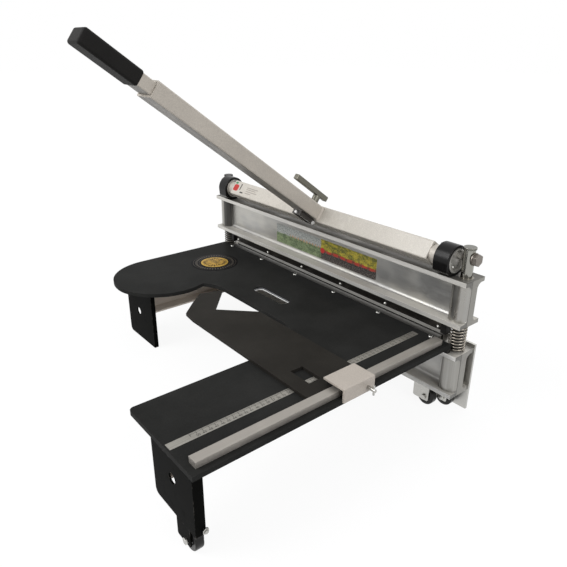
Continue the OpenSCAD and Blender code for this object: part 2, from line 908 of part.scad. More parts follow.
// Plugs in the ends of the cross tube, their round stubs carry the cam hubs.
module tube_plugs() {
    color("#c9c2ba") at_lever() for (side = [0, 1]) mirror([side, 0, 0]) {
        translate([tube_l / 2 - plug_l / 2, 0, 0]) along_x(plug_l)
            square(tube_s - 2 * tube_wall, center = true);
        translate([tube_l / 2, 0, 0]) rod_x(stub_d / 2, collar_l + stub_depth);
    }
}

module collar_screw_place() {
    translate([tube_l / 2 + collar_l / 2, 0, stub_d / 2]) children();
}

module collar_screws() {
    color("#2a2927") at_lever() for (side = [0, 1]) mirror([side, 0, 0]) collar_screw_place() difference() {
        cylinder(r = screw_r, h = (collar_d - stub_d) / 2);
        translate([0, 0, socket_floor]) hexagon(screw_r, collar_d);
    }
}

// Black cam: the working arc and a round body, with a round seat for the hub.
module cam_plan() {
    difference() {
        hull() {
            polygon(concat(working_arc, [[cam_y, cam_z]]));
            translate([cam_y, cam_z]) circle(cam_r, $fn = 96);
        }
        translate([cam_y, cam_z]) circle(hub_r);
    }
}

module cam(side) {
    color("#1d1c1b") at_pivot() mirror([side < 0 ? 1 : 0, 0, 0])
        translate([cam_in + cam_w / 2, 0, 0]) along_x(cam_w) cam_plan();
}

module cam_left() {
    cam(-1);
}

module cam_right() {
    cam(1);
}

// Grey hub: collar on the stub of the tube, dished outer face, boss round the blind journal bore.
module cam_hub(side) {
    boss_r = pivot_d / 2 + boss_wall;
    color("#8f8d89") difference() {
        at_pivot() mirror([side < 0 ? 1 : 0, 0, 0]) union() {
            translate([cam_in, cam_y, cam_z]) rod_x(hub_r, cam_w - hub_dish);
            translate([cam_in, cam_y, cam_z]) difference() {
                rod_x(hub_r, cam_w);
                rod_x(hub_r - hub_rim, cam_w + over);
            }
            translate([tube_l / 2, cam_y, cam_z]) rod_x(collar_d / 2, collar_l + over);
            translate([cam_in + over, 0, 0]) rod_x(boss_r, post_x - post_d / 2 - slip - cam_in - over);
        }
        at_pivot() mirror([side < 0 ? 1 : 0, 0, 0]) {
            translate([cam_in + journal_depth - slip, 0, 0]) rod_x(pivot_d / 2 + fit, cam_w + over);
            translate([tube_l / 2 - over, cam_y, cam_z])
                rod_x(stub_d / 2 + fit, over + collar_l + stub_depth + slip);
        }
        at_lever() mirror([side < 0 ? 1 : 0, 0, 0]) collar_screw_place()
            cylinder(r = screw_r + screw_slack, h = collar_d);
    }
}

module cam_hub_left() {
    cam_hub(-1);
}

module cam_hub_right() {
    cam_hub(1);
}

// Seat plate of the lever tube on the cross tube, with an open box frame under both. The
// outline of its two cheeks is given along the lever and up.
bracket_side = [[bracket_reach, -lever_h / 2], [bracket_reach, bracket_low], [bracket_back, bracket_low],
                [bracket_back, -tube_s / 2], [tube_s / 2, -tube_s / 2], [tube_s / 2, -lever_h / 2]];

module lever_bracket() {
    inner_w = bracket_w - 2 * bracket_wall;
    color("#b0aca4") at_lever() difference() {
        union() {
            translate([-lever_w / 2, -lever_start, -lever_h / 2]) cube([lever_w, seat_t, lever_h]);
            mirror([0, 1, 0]) along_x(bracket_w) polygon(bracket_side);
        }
        translate([-inner_w / 2, -bracket_reach + bracket_wall, bracket_low - over])
            cube([inner_w, bracket_reach - bracket_back - 2 * bracket_wall,
                  over - bracket_low - lever_h / 2]);
        translate([0, over - bracket_back, long_bolt_z]) mirror([0, 1, 0])
            rod_y(long_bolt_r + screw_slack, bracket_reach + over);
        translate([0, -clamp_reach, -lever_h]) cylinder(r = clamp_d / 2 + screw_slack, h = lever_h);
    }
}

module bracket_bolt() {
    color("silver") at_lever() translate([0, -bracket_back, long_bolt_z]) {
        mirror([0, 1, 0]) rod_y(long_bolt_r, bracket_reach - bracket_back);
        rod_y(long_head_r, long_head_l);
        translate([0, bracket_back - bracket_reach - long_head_l, 0]) rod_y(long_head_r, long_head_l);
    }
}

module lever_tube() {
    color("#b5aea2") at_lever() difference() {
        translate([0, -lever_start, 0]) rotate([90, 0, 0]) linear_extrude(lever_l) difference() {
            round_box(lever_w, lever_h, lever_corner_r);
            square([lever_w - 2 * lever_wall, lever_h - 2 * lever_wall], center = true);
        }
        translate([0, -clamp_reach, -lever_h]) cylinder(r = clamp_d / 2 + screw_slack, h = 2 * lever_h);
    }
}

module clamp_nut() {
    color("silver") at_lever() translate([0, -clamp_reach, -lever_h / 2 - nut_h]) difference() {
        hexagon(hex_share * clamp_d, nut_h);
        translate([0, 0, -over]) cylinder(r = clamp_d / 2 + fit, h = nut_h + 2 * over);
    }
}

module clamp_screw() {
    low = lever_h / 2 + nut_h;
    color("#77756f") at_lever() translate([0, -clamp_reach, 0]) {
        translate([0, 0, -low]) cylinder(d = clamp_d, h = low + lever_h / 2 + clamp_rise);
        translate([0, 0, lever_h / 2 + slip])
            cylinder(r = clamp_d * clamp_boss_share, h = clamp_rise - slip);
    }
}

module clamp_bar() {
    color("#8b8982") at_lever() translate([0, -clamp_reach - clamp_offset, lever_h / 2 + clamp_rise])
        translate([-clamp_bar_w / 2, -clamp_bar_l / 2, 0]) cube([clamp_bar_w, clamp_bar_l, clamp_bar_h]);
}

module handle_bar() {
    color("#aaa59c") at_lever() translate([0, bar_overlap - lever_end, 0]) rotate([90, 0, 0])
        linear_extrude(bar_l) difference() {
            round_box(bar_w, bar_h, bar_corner_r);
            square([bar_w - 2 * bar_wall, bar_h - 2 * bar_wall], center = true);
        }
}

// Moulded grip: a rounded sleeve, closed at the outer end.
module grip_form(w, h, l, r) {
    hull() for (end = [0, 1], x = [-1, 1], z = [-1, 1])
        translate([x * (w / 2 - r), end * (l - 2 * r) + r, z * (h / 2 - r)]) sphere(r, $fn = 24);
}

module grip() {
    color("#262624") at_lever() translate([0, -lever_end - grip_gap, 0]) difference() {
        mirror([0, 1, 0]) grip_form(bar_w + 2 * grip_wall, bar_h + 2 * grip_wall, grip_l, grip_corner_r);
        translate([-bar_w / 2 - screw_slack, -grip_l + grip_wall - screw_slack, -bar_h / 2 - screw_slack])
            cube([bar_w + 2 * screw_slack, grip_l, bar_h + 2 * screw_slack]);
    }
}

// Bent plate over the rail: roof with a wall outside the table edge.
module slider_section() {
    r = slider_bend_r;
    top = slider_z + slider_t;
    wall_x = right_x + slip;
    translate([slider_left, slider_z]) square([slider_right - r - slider_left, slider_t]);
    translate([wall_x, slider_low]) square([slider_t, top - r - slider_low]);
    translate([slider_right - r, top - r]) circle(r);
}

module fence_slider() {
    color("#bab1a6") at_knife() difference() {
        translate([0, -slider_front + slider_l, 0]) rotate([90, 0, 0])
            linear_extrude(slider_l) slider_section();
        translate([right_x, -thumb_y, table_top + rail_h / 2]) rod_x(thumb_r + fit, slider_t * 2);
        fence_screw_places() cylinder(r = screw_r + screw_slack, h = fence_screw_l + fit);
    }
}

// Black guide block: stands on the fence arm, carries the plate and rides over the rail.
module block_section() {
    foot_z = fence_z + fence_t;
    left = slider_left + block_inset;
    translate([left, foot_z]) square([rail_x - slip - left, slider_z - foot_z]);
    translate([left, table_top + rail_h + slip])
        square([rail_x + rail_w - left, slider_rise - slip]);
}

module fence_block() {
    l = slider_l - 2 * block_set_back;
    color("#242322") at_knife() difference() {
        translate([0, -slider_front + slider_l - block_set_back, 0]) rotate([90, 0, 0])
            linear_extrude(l) block_section();
        fence_screw_places() cylinder(r = screw_r + screw_slack, h = fence_screw_l + over);
    }
}

// Plan of the fence arm, from its right end: a long bar with a right-angled notch and a cut nose.
module fence_plan() {
    front = -fence_reach;
    polygon(concat([[rail_x - slip, front], [0, front]],
        [for (p = nose_shares) [p[0] * fence_depth, front + p[1] * fence_depth]],
        [for (p = notch_shares) [p[0] * fence_depth, front + p[1] * fence_depth]],
        [[rail_x - slip, front + fence_depth]]));
}

module fence_arm() {
    color("#2d2b29") at_knife() difference() {
        translate([0, 0, fence_z]) linear_extrude(fence_t) fence_plan();
        translate([pocket_x, pocket_y, fence_z - over]) cube([pocket_w, pocket_d, fence_t + 2 * over]);
        fence_screw_places() translate([0, 0, -over])
            cylinder(r = screw_r + screw_slack, h = fence_t + 2 * over);
    }
}

module fence_screw_places() {
    for (share = fence_screw_shares)
        translate([slider_left + fence_screw_in, -slider_front + share * slider_l, fence_z]) children();
}

module fence_screws() {
    color("gray") at_knife() fence_screw_places() cylinder(r = screw_r, h = fence_screw_l);
}

// Threaded stem through the wall of the slider with a cross pin as its grip.
module thumb_screw() {
    tip = rail_x + rail_w + slip;
    end = slider_right + slip + thumb_stem_l;
    color("#6f6d69") at_knife() translate([0, -thumb_y, table_top + rail_h / 2]) {
        translate([tip, 0, 0]) rod_x(thumb_r, end - tip);
        translate([end - thumb_pin_in, 0, 0]) cylinder(r = thumb_pin_r, h = thumb_pin_l, center = true);
    }
}

rear_foot_plate();
foot_plate_screws();
base_beam();
post_left();
post_right();
post_caps();
anvil_front();
anvil_rear();
table_packer();
table();
table_screws();
leg_left();
leg_right();
brace_left();
brace_right();
scale_strip();
fence_rail();
rail_screws();
caster_forks();
fork_leg();
caster_axles();
base_wheel_front();
base_wheel_rear();
leg_wheel();
tyre_front();
tyre_rear();
tyre_leg();
pivot_bolt_left();
pivot_bolt_right();
spring_left();
spring_right();
upper_beam();
guide_bushes();
knife_carrier();
carrier_bolts();
end_blocks();
knife();
knife_screws();
cross_tube();
tube_plugs();
cam_left();
cam_right();
cam_hub_left();
cam_hub_right();
collar_screws();
lever_bracket();
bracket_bolt();
lever_tube();
clamp_nut();
clamp_screw();
clamp_bar();
handle_bar();
grip();
fence_slider();
fence_block();
fence_arm();
fence_screws();
thumb_screw();
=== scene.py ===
"""Bench shear for floor boards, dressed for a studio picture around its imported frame."""
import json
import math

import bmesh
import bpy
from mathutils import Matrix, Vector


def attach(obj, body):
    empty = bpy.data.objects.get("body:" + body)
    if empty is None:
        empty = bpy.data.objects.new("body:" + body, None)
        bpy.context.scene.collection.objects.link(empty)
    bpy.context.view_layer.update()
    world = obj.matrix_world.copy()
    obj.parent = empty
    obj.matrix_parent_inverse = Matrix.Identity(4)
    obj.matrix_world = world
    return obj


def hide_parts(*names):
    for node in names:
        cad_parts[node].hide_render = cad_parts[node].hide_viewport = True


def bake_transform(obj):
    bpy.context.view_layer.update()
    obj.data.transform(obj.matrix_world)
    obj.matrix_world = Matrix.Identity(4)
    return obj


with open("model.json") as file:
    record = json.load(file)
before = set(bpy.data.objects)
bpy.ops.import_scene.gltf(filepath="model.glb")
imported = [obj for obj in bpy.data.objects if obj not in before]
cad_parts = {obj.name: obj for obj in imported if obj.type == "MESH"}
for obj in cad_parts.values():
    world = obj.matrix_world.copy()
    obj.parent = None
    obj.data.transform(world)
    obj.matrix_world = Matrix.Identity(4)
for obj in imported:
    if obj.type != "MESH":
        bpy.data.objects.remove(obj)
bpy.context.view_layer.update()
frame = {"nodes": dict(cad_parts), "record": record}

MM = 0.001
BODIES = frame["record"]["behaviour"]["bodies"]
BODY_OF = {node: body for body, nodes in BODIES.items() for node in nodes}

# Places and sizes on the machine, in metres. They follow the model's source, and are a little larger
# or smaller where a finish has to reach past a face or a piece has to sink into one.
KNIFE_Y = -0.030
POST_X = 0.361
COLUMN_R = 0.0214
COLUMN_EDGE = 0.0088
BEAM_END = 0.380
BEAM_HEIGHT = 0.088
FLANGE = 0.008
FLANGE_FRONT = KNIFE_Y - 0.0275
WEB_FRONT = KNIFE_Y - 0.003
END_FRONT = KNIFE_Y - 0.007
BASE_TOP = 0.131
UPPER_LOW = 0.1845
UPPER_TOP = UPPER_LOW + BEAM_HEIGHT
TABLE_TOP = 0.147
SPRING_LOW = 0.1313
SPRING_HEIGHT = 0.0529
LEG_BOLT = (0.36, KNIFE_Y - 0.535, 0.050)
TUBE_AXIS = (-0.04247, 0.3005)
TUBE_HALF = 0.018
COLLAR_X = 0.3085
COLLAR_SEAT = 0.0166
CAM_INNER_X = 0.3168
HUB_FLOOR = 0.3425
BRACKET_HALF = 0.012
BRACKET_CORNER = (0.0185, 0.0225)

# The lever rises to the front at this angle. OUT runs along it, away from the cross tube, and UP
# stands square on it.
LEVER_RISE = math.radians(36.1)
LEVER_UP = (math.sin(LEVER_RISE), math.cos(LEVER_RISE))
TUBE_CENTRE = Vector((0, *TUBE_AXIS))
TUBE_UP = Vector((0, *LEVER_UP))
TUBE_OUT = Vector((0, -LEVER_UP[1], LEVER_UP[0]))

# The area round the hand slot as left, right, front and back.
HAND_SLOT = (-0.0600, 0.0465, KNIFE_Y - 0.1515, KNIFE_Y - 0.1225)

# The coloured band as left, low, right and high. The row of dots and the warm line lie between shares
# of its height, and their waves are in radians a metre.
BAND = (-0.155, 0.2015, 0.163, 0.2465)
DOT_ROW = (0.5, 0.62)
DOT_WAVE = 640.0
DOTS_LEFT = -0.105
WARM_LINE = (0.36, 0.5)
WARM_WAVE = 300.0
SPOT = (0.005, WEB_FRONT, 0.221)
SPOT_R = 0.0065

# The round plate: its centre, its radius, and its rings from the middle outwards.
EMBLEM = (-0.246, -0.1555)
EMBLEM_R = 0.0565
FIELD_RING = (0.0225, 0.0255)
BORDER_R = 0.0295
RELIEF_R = 0.033
INNER_RIM = (0.0375, 0.0382)
DOT_RING = (0.0415, 0.0475)
OUTER_RIM = (0.0515, 0.0522)

# The photograph's camera: metres, degrees, and radians for the small roll. The lens is in millimetres.
CAMERA_AT = (0.8442, -0.8319, 0.6337)
CAMERA_TURN = 50.62
CAMERA_DIP = 23.08
CAMERA_ROLL = 0.00693
LENS = 35.3

# Half the floor's side, and the lamps: name, place, the point it looks at, size and power in watts.
FLOOR_HALF = 14
LAMPS = [("key_light", (-0.7, -2.1, 1.7), (0, -0.2, 0.15), 1.5, 44),
         ("side_light", (2.2, -0.3, 1.5), (0, -0.2, 0.2), 1.2, 20),
         ("back_light", (0.2, 1.8, 1.9), (0, 0, 0.2), 1.4, 14)]

# Depths below the table's top at which the painted shade and light on the wall of the hand slot change.
SLOT_COAT = 0.0012
SLOT_LIGHT_DEPTH = 0.0028
SLOT_RIM = 0.0062

# Flares between the columns and the flanges: where they start and end along the beam, how deep they
# sink into a flange, and their radius at the lower and at the upper one.
FLARE_ENDS = (POST_X + 0.0115, BEAM_END - 0.0002)
FLARE_SINK = 0.0003
FLARE_LOW_R = 0.009
FLARE_HIGH_R = 0.0125

# Screw rows: six along the beam on the table and on the knife, and eight on the foot plate. The two
# screws of a hub are given as y and z from the tube's axis.
SCREW_PITCH = 0.128
SCREWS_X = [(i - 2.5) * SCREW_PITCH for i in range(6)]
TABLE_SCREWS_Y = KNIFE_Y - 0.02235
KNIFE_SCREWS_Y = KNIFE_Y - 0.002
KNIFE_SCREWS_Z = 0.1606
FOOT_LENGTH = 0.76
FOOT_SCREWS_X = [share * FOOT_LENGTH for share in (-0.375, -0.125, 0.125, 0.375)]
FOOT_SCREWS_Y = 0.0025
FOOT_SCREWS_Z = (0.047, 0.127)
HUB_SCREWS = ((-0.0030, -0.0125), (-0.0125, 0.0015))

# The scale: where its marks start, and its figures, which are centimetres from the knife.
SCALE_X = 0.286
MARKS_START = (SCALE_X + 0.0012, KNIFE_Y - 0.03, TABLE_TOP)
FIGURES = range(4, 51)
FIGURE_X = SCALE_X + 0.0105
FIGURE_PITCH = 0.01
FIGURE_SIZE = 0.0064
FIGURE_RISE = 0.00006

# A node's mesh is loose triangles: nearer points are one, flatter faces are one, and an edge that
# turns by more than the last angle, in radians, is eased.
SAME_POINT = 0.003 * MM
FLAT = math.radians(0.5)
CORNER = 0.6


class Field:
    """A socket that takes part in sums: each operator adds a Math node to its sheet."""

    def __init__(self, sheet, socket):
        self.sheet = sheet
        self.socket = socket

    def _math(self, operation, *values):
        return self.sheet.add("ShaderNodeMath", {"operation": operation}, dict(enumerate(values)))

    def __add__(self, other):
        return self._math("ADD", self, other)

    def __radd__(self, other):
        return self._math("ADD", other, self)

    def __sub__(self, other):
        return self._math("SUBTRACT", self, other)

    def __rsub__(self, other):
        return self._math("SUBTRACT", other, self)

    def __mul__(self, other):
        return self._math("MULTIPLY", self, other)

    def __rmul__(self, other):
        return self._math("MULTIPLY", other, self)

    def __truediv__(self, other):
        return self._math("DIVIDE", self, other)

    def __gt__(self, other):
        return self._math("GREATER_THAN", self, other)

    def __lt__(self, other):
        return self._math("LESS_THAN", self, other)

    def __mod__(self, other):
        return self._math("FLOORED_MODULO", self, other)

    def __abs__(self):
        return self._math("ABSOLUTE", self)

    def sine(self):
        return self._math("SINE", self)

    def cosine(self):
        return self._math("COSINE", self)

    def larger(self, other):
        return self._math("MAXIMUM", self, other)

    def smaller(self, other):
        return self._math("MINIMUM", self, other)


class Sheet:
    """A node tree with one method that adds a node: its type, its settings, its sockets."""

    def __init__(self, tree):
        self.tree = tree

    def add(self, kind, settings=None, sockets=None, out=0):
        node = self.tree.nodes.new(kind)
        for name, value in (settings or {}).items():
            setattr(node, name, value)
        for name, value in (sockets or {}).items():
            if isinstance(value, Field):
                self.tree.links.new(value.socket, node.inputs[name])
            else:
                node.inputs[name].default_value = value
        return Field(self, node.outputs[out] if node.outputs else None)


class Finish(Sheet):
    """A material with what the finishes are made from."""

    def __init__(self, name):
        self.material = bpy.data.materials.new(name)
        self.material.use_nodes = True
        super().__init__(self.material.node_tree)
        self.tree.nodes.clear()

    def place(self, stretch=(1, 1, 1), shift=(0, 0, 0)):
        """The place on the piece, stretched and shifted."""
        where = self.add("ShaderNodeTexCoord", out="Object")
        return self.add("ShaderNodeMapping", None, {
            "Vector": where, "Scale": stretch, "Location": shift})

    def axis(self, name):
        """One coordinate of the place on the piece."""
        where = self.add("ShaderNodeTexCoord", out="Object")
        return self.add("ShaderNodeSeparateXYZ", None, {0: where}, out=name)

    def facing(self, name):
        """One part of the direction the surface faces, in the piece's own frame."""
        way = self.add("ShaderNodeTexCoord", out="Normal")
        return self.add("ShaderNodeSeparateXYZ", None, {0: way}, out=name)

    def noise(self, size, stretch=(1, 1, 1), detail=4, rough=0.55, shift=(0, 0, 0)):
        """Noise whose features have a size in metres."""
        return self.add("ShaderNodeTexNoise", None, {
            "Vector": self.place(stretch, shift=shift), "Scale": 1 / size,
            "Detail": detail, "Roughness": rough})

    def fade(self, value, low, high, low_to=0.0, high_to=1.0):
        """A soft step: from low_to where the value is low up to high_to where it is high."""
        return self.add("ShaderNodeMapRange", {"interpolation_type": "SMOOTHSTEP"}, {
            "Value": value, "From Min": low, "From Max": high, "To Min": low_to, "To Max": high_to})

    def mix(self, share, first, second):
        """Two colours mixed: sockets 6 and 7 are the Mix node's colours."""
        colours = {6: first, 7: second}
        for key, colour in colours.items():
            if not isinstance(colour, Field):
                colours[key] = (*colour, 1)
        return self.add("ShaderNodeMix", {"data_type": "RGBA"}, {0: share, **colours}, out=2)

    def scaled(self, tint, by):
        """A colour that varies over the surface, made darker or lighter as a whole."""
        return self.add("ShaderNodeVectorMath", {"operation": "SCALE"}, {0: tint, "Scale": by})

    def rim(self):
        """One on the eased edges, nought elsewhere."""
        return self.add("ShaderNodeAttribute", {"attribute_name": "edge"}, out="Fac")

    def edge(self, size=0.005, low=0.35, high=0.6):
        """A mask along the eased edges, broken up by a small noise, for wear and for painted edge
        highlights.
        """
        return self.rim() * self.fade(self.noise(size, detail=3), low, high)

    def close(self, colour, roughness, metallic=0.0, height=None, depth=0.0002, **constants):
        """The material, ended in one Principled shader, with a relief where a height is given."""
        sockets = {"Roughness": roughness, "Metallic": metallic, **constants}
        sockets["Base Color"] = colour if isinstance(colour, Field) else (*colour, 1)
        if height is not None:
            sockets["Normal"] = self.add("ShaderNodeBump", None, {
                "Strength": 1.0, "Distance": depth, "Height": height})
        shader = self.add("ShaderNodeBsdfPrincipled", None, sockets)
        self.add("ShaderNodeOutputMaterial", None, {"Surface": shader})
        return self.material


def srgb(code):
    """Linear colour of a hexadecimal screen colour."""
    values = [int(code[i:i + 2], 16) / 255 for i in (0, 2, 4)]
    return tuple(v / 12.92 if v <= 0.04045 else ((v + 0.055) / 1.055) ** 2.4 for v in values)


def shade(colour, by):
    """A fixed colour made darker or lighter, white at most."""
    return tuple(min(1, c * by) for c in colour)


def between(value, low, high):
    """One where a value lies between two others."""
    return (value > low) * (value < high)


# How a noise is drawn out along the brush lines of each direction.
GRAIN = {"x": (0.02, 1, 1), "y": (1, 0.02, 1), "z": (1, 1, 0.02)}


def layered(f, tint, rough, bare, films, roughness, metallic):
    """Lays films over a finish: each gives a mask, a colour, a roughness and a share of metal."""
    for film in films:
        mask, film_colour, film_rough, film_metal = film(f)
        tint = f.mix(mask, tint, film_colour)
        rough = rough + mask * (film_rough - roughness)
        bare = bare + mask * (film_metal - metallic)
    return tint, rough, bare


def metal(name, colour, roughness, grain="x", tone=0.1, metallic=1.0, worn=1.25, smudge=0.12,
          films=()):
    """Bare metal: fine brush grain, slow tone drift, handling smudges, and edges made bright by wear and by
    a painted highlight.
    """
    f = Finish(name)
    brush = f.noise(0.0006, GRAIN[grain], detail=3)
    lines = f.noise(0.004, GRAIN[grain], detail=5, rough=0.7)
    drift = f.noise(0.12, detail=3)
    marks = f.fade(f.noise(0.035, detail=6, rough=0.65), 0.45, 0.7)
    share = f.fade(brush * 0.35 + lines * 0.35 + drift * 0.3, 0.3, 0.7)
    tint = f.mix(share, shade(colour, 1 - tone), shade(colour, 1 + tone))
    # Edges lighter by the factor worn: wear, and a painted highlight.
    tint = f.mix(f.edge(), tint, shade(colour, worn))
    rough = roughness - 0.06 + lines * 0.12 + marks * smudge
    tint, rough, bare = layered(f, tint, rough, metallic, films, roughness, metallic)
    return f.close(tint, rough, bare, brush * 0.6 + lines * 0.4, 0.00004)


def flange_film(f):
    """Painted shade in blotches on the top flange, under the cross tube and the cams that work over it."""
    blot = f.fade(f.noise(0.02, (0.3, 1, 1), detail=5), 0.2, 0.55)
    top = (f.axis("Z") > UPPER_TOP - 0.001) * (f.axis("Y") > FLANGE_FRONT + 0.0013)
    return top * (0.55 + 0.4 * blot), srgb("504d48"), 0.5, 0.5


def dust_film(f):
    """Pale dust on the upward faces of the lower flanges, made paler still as painted light where they lie
    in shade.
    """
    up = f.facing("Z")
    patch = f.fade(f.noise(0.03, (0.25, 1, 1), detail=6), 0.25, 0.6, 0.45, 0.85)
    return (up > 0.9) * (f.axis("Z") < UPPER_TOP - FLANGE) * patch, srgb("bcb8b0"), 0.55, 0.15


def cut_film(f):
    """Bright milled front edges of the flanges, with painted light making those of the base beam paler
    still.
    """
    grain = f.fade(f.noise(0.004, (0.05, 1, 1), detail=4), 0.3, 0.7, 0.55, 0.9)
    # Painted light: paler on the base beam, which lies in the table's shade.
    tint = f.mix(f.axis("Z") < BASE_TOP, srgb("d3d0ca"), srgb("f4f2ee"))
    return (f.axis("Y") < FLANGE_FRONT + 0.0007) * grain, tint, 0.45, 0.2


def base_film(f):
    """Painted light: pale grey patches on the lower front of the base beam, which lies in the table's
    shade.
    """
    low = (f.axis("Z") < BASE_TOP - 0.003) * (f.axis("Y") < KNIFE_Y)
    return low * f.fade(f.noise(0.03, detail=5), 0.3, 0.7, 0.3, 0.6), srgb("c6c5c2"), 0.5, 0.1


def cool_film(f):
    """Cooler patches of the anodised web between warmer ones."""
    patch = f.fade(f.noise(0.11, (0.6, 1, 1.4), detail=3, shift=(0.3, 0, 0.1)), 0.42, 0.6)
    return patch * 0.4, srgb("84868c"), 0.32, 0.8


def on_column(x, y):
    """One on a round column, from the distances to its axis."""
    return x * x + y * y < COLUMN_R ** 2


def column_film(f):
    """The round columns at the ends of a beam: smoother, with streaks along their length."""
    streak = f.fade(f.noise(0.005, GRAIN["z"], detail=4, rough=0.6), 0.35, 0.65, 0.5, 1.0)
    column = on_column(abs(f.axis("X")) - POST_X, f.axis("Y") - KNIFE_Y)
    return column * streak, srgb("9d9b96"), 0.28, 1.0


def stain_film(f):
    """Painted shade on the inner half of the left column, on its front side."""
    x = f.axis("X") + POST_X
    y = f.axis("Y") - KNIFE_Y
    shade_share = f.fade(x, 0.002, 0.006) * (y < 0.0) * 0.85
    return on_column(x, y) * shade_share, srgb("201f1e"), 0.45, 0.1


def end_film(f):
    """Sawn ends of the beams, duller than their faces, with painted shade along their front."""
    out = abs(f.facing("X")) > 0.9
    # Painted shade: darker towards the front of the end.
    tint = f.mix(f.axis("Y") < END_FRONT, srgb("85837d"), srgb("45433f"))
    return out * 0.75, tint, 0.42, 0.7


def spring_film(f):
    """Painted shade on the length of a post inside its lifting spring."""
    inside = between(f.axis("Z"), SPRING_LOW, SPRING_LOW + SPRING_HEIGHT)
    return inside * 0.9, srgb("151412"), 0.5, 0.2


def shadow_film(f):
    """Painted shade that darkens the left spring; the right one is left as it is."""
    return (f.axis("X") < 0.0) * 0.7, srgb("24221f"), 0.4, 0.4


def under_film(f):
    """Painted shade in patches along the lower side of the lever tube and the handle bar."""
    down = f.facing("Y") * -LEVER_UP[0] + f.facing("Z") * -LEVER_UP[1]
    patch = f.fade(f.noise(0.012, (1, 0.2, 0.2), detail=5), 0.3, 0.7, 0.6, 0.9)
    return (down > 0.9) * patch, srgb("4c4945"), 0.45, 0.0


def slot_film(f):
    """The wall of the hand slot in painted shade and light: a dark shaded band at the top, then a grey lit
    band and a pale lower rim.
    """
    left, right, front, back = HAND_SLOT
    z = f.axis("Z")
    wall = (between(f.axis("X"), left, right) * between(f.axis("Y"), front, back)
            * (z < TABLE_TOP - SLOT_COAT))
    tint = f.mix(z < TABLE_TOP - SLOT_LIGHT_DEPTH, srgb("1a1a1a"), srgb("6e6e70"))
    tint = f.mix(z < TABLE_TOP - SLOT_RIM, tint, srgb("f4f4f2"))
    return wall * 0.95, tint, 0.45, 0.0


def left_film(f):
    """The left cap is dark, the right one bright."""
    return (f.axis("X") < 0.0) * 0.95, srgb("1b1a19"), 0.45, 0.3


def collar_film(f):
    """The collars on the inner side of the cams are painted like the tube between them."""
    return (abs(f.axis("X")) < CAM_INNER_X) * 0.95, srgb("c4bdb3"), 0.4, 0.1


def frame_film(f):
    """Painted shade on the open frame under the lever's seat."""
    up = (f.axis("Y") - TUBE_AXIS[0]) * LEVER_UP[0] + (f.axis("Z") - TUBE_AXIS[1]) * LEVER_UP[1]
    return (up < 0.0028 - TUBE_HALF) * 0.95, srgb("24211f"), 0.45, 0.0


def coat(name, colour, roughness, peel=0.0016, depth=0.00005, worn="8a857d", chips=0.75, tone=0.15,
         gloss=0.5, rub=0.14, edge_highlight=1.15, films=()):
    """Powder coat: orange peel, faint dust and rub marks, a painted highlight on the eased edges, bare
    metal where edges are worn.
    """
    f = Finish(name)
    skin = f.noise(peel, detail=2)
    drift = f.noise(0.09, detail=4)
    rubbed = f.fade(f.noise(0.02, (1, 0.25, 1), detail=7, rough=0.7), 0.52, 0.74)
    specks = f.fade(f.noise(0.0022, detail=2), 0.66, 0.74)
    tint = f.mix(f.fade(drift, 0.3, 0.7), shade(colour, 1 - tone), shade(colour, 1 + tone))
    grit = f.fade(f.noise(0.0011, detail=3), 0.35, 0.65)
    tint = f.mix(grit, f.scaled(tint, 0.9), f.scaled(tint, 1.1))
    tint = f.mix(specks * 0.12, tint, shade(colour, 2.2))
    tint = f.mix(rubbed * rub, tint, shade(srgb(worn), 0.8))
    bare = f.edge(0.007, chips - 0.25, chips)
    # Painted highlight: the coat is made lighter along the eased edges.
    tint = f.mix(f.rim() * 0.5, tint, shade(colour, edge_highlight))
    tint = f.mix(bare, tint, srgb(worn))
    rough = roughness + (drift - 0.5) * 0.12 + rubbed * 0.1
    tint, rough, bare = layered(f, tint, rough, bare * 0.8, films, roughness, 0.0)
    return f.close(tint, rough, bare, skin, depth, **{"Specular IOR Level": gloss})


def moulded(name, colour, roughness, texture=0.0009, depth=0.00006, gloss=0.3):
    """Moulded plastic or rubber: fine leather texture, and edges slightly polished and lightened by a
    painted highlight.
    """
    f = Finish(name)
    grain = f.add("ShaderNodeTexVoronoi", {"feature": "SMOOTH_F1"}, {
        "Vector": f.place(), "Scale": 1 / texture})
    drift = f.noise(0.04, detail=4)
    rim = f.rim()
    tint = f.mix(f.fade(drift, 0.3, 0.7), shade(colour, 0.88), shade(colour, 1.12))
    # Painted highlight: the colour is made lighter along the eased edges.
    tint = f.mix(rim * 0.4, tint, shade(colour, 1.9))
    rough = roughness + (drift - 0.5) * 0.14 - rim * 0.08
    return f.close(tint, rough, 0.0, grain, depth, **{"Specular IOR Level": gloss})


def scale_metal():
    """Satin strip of the scale, a little darker where boards rub over it."""
    f = Finish("scale_metal")
    brush = f.noise(0.0008, GRAIN["y"], detail=3)
    rubbed = f.fade(f.noise(0.05, (1, 0.3, 1), detail=6), 0.45, 0.7)
    tint = f.mix(f.fade(brush, 0.3, 0.7), srgb("8d8a83"), srgb("a5a29a"))
    tint = f.mix(rubbed * 0.5, tint, srgb("7c7972"))
    return f.close(tint, 0.38 + rubbed * 0.12, 0.6, brush, 0.00003)


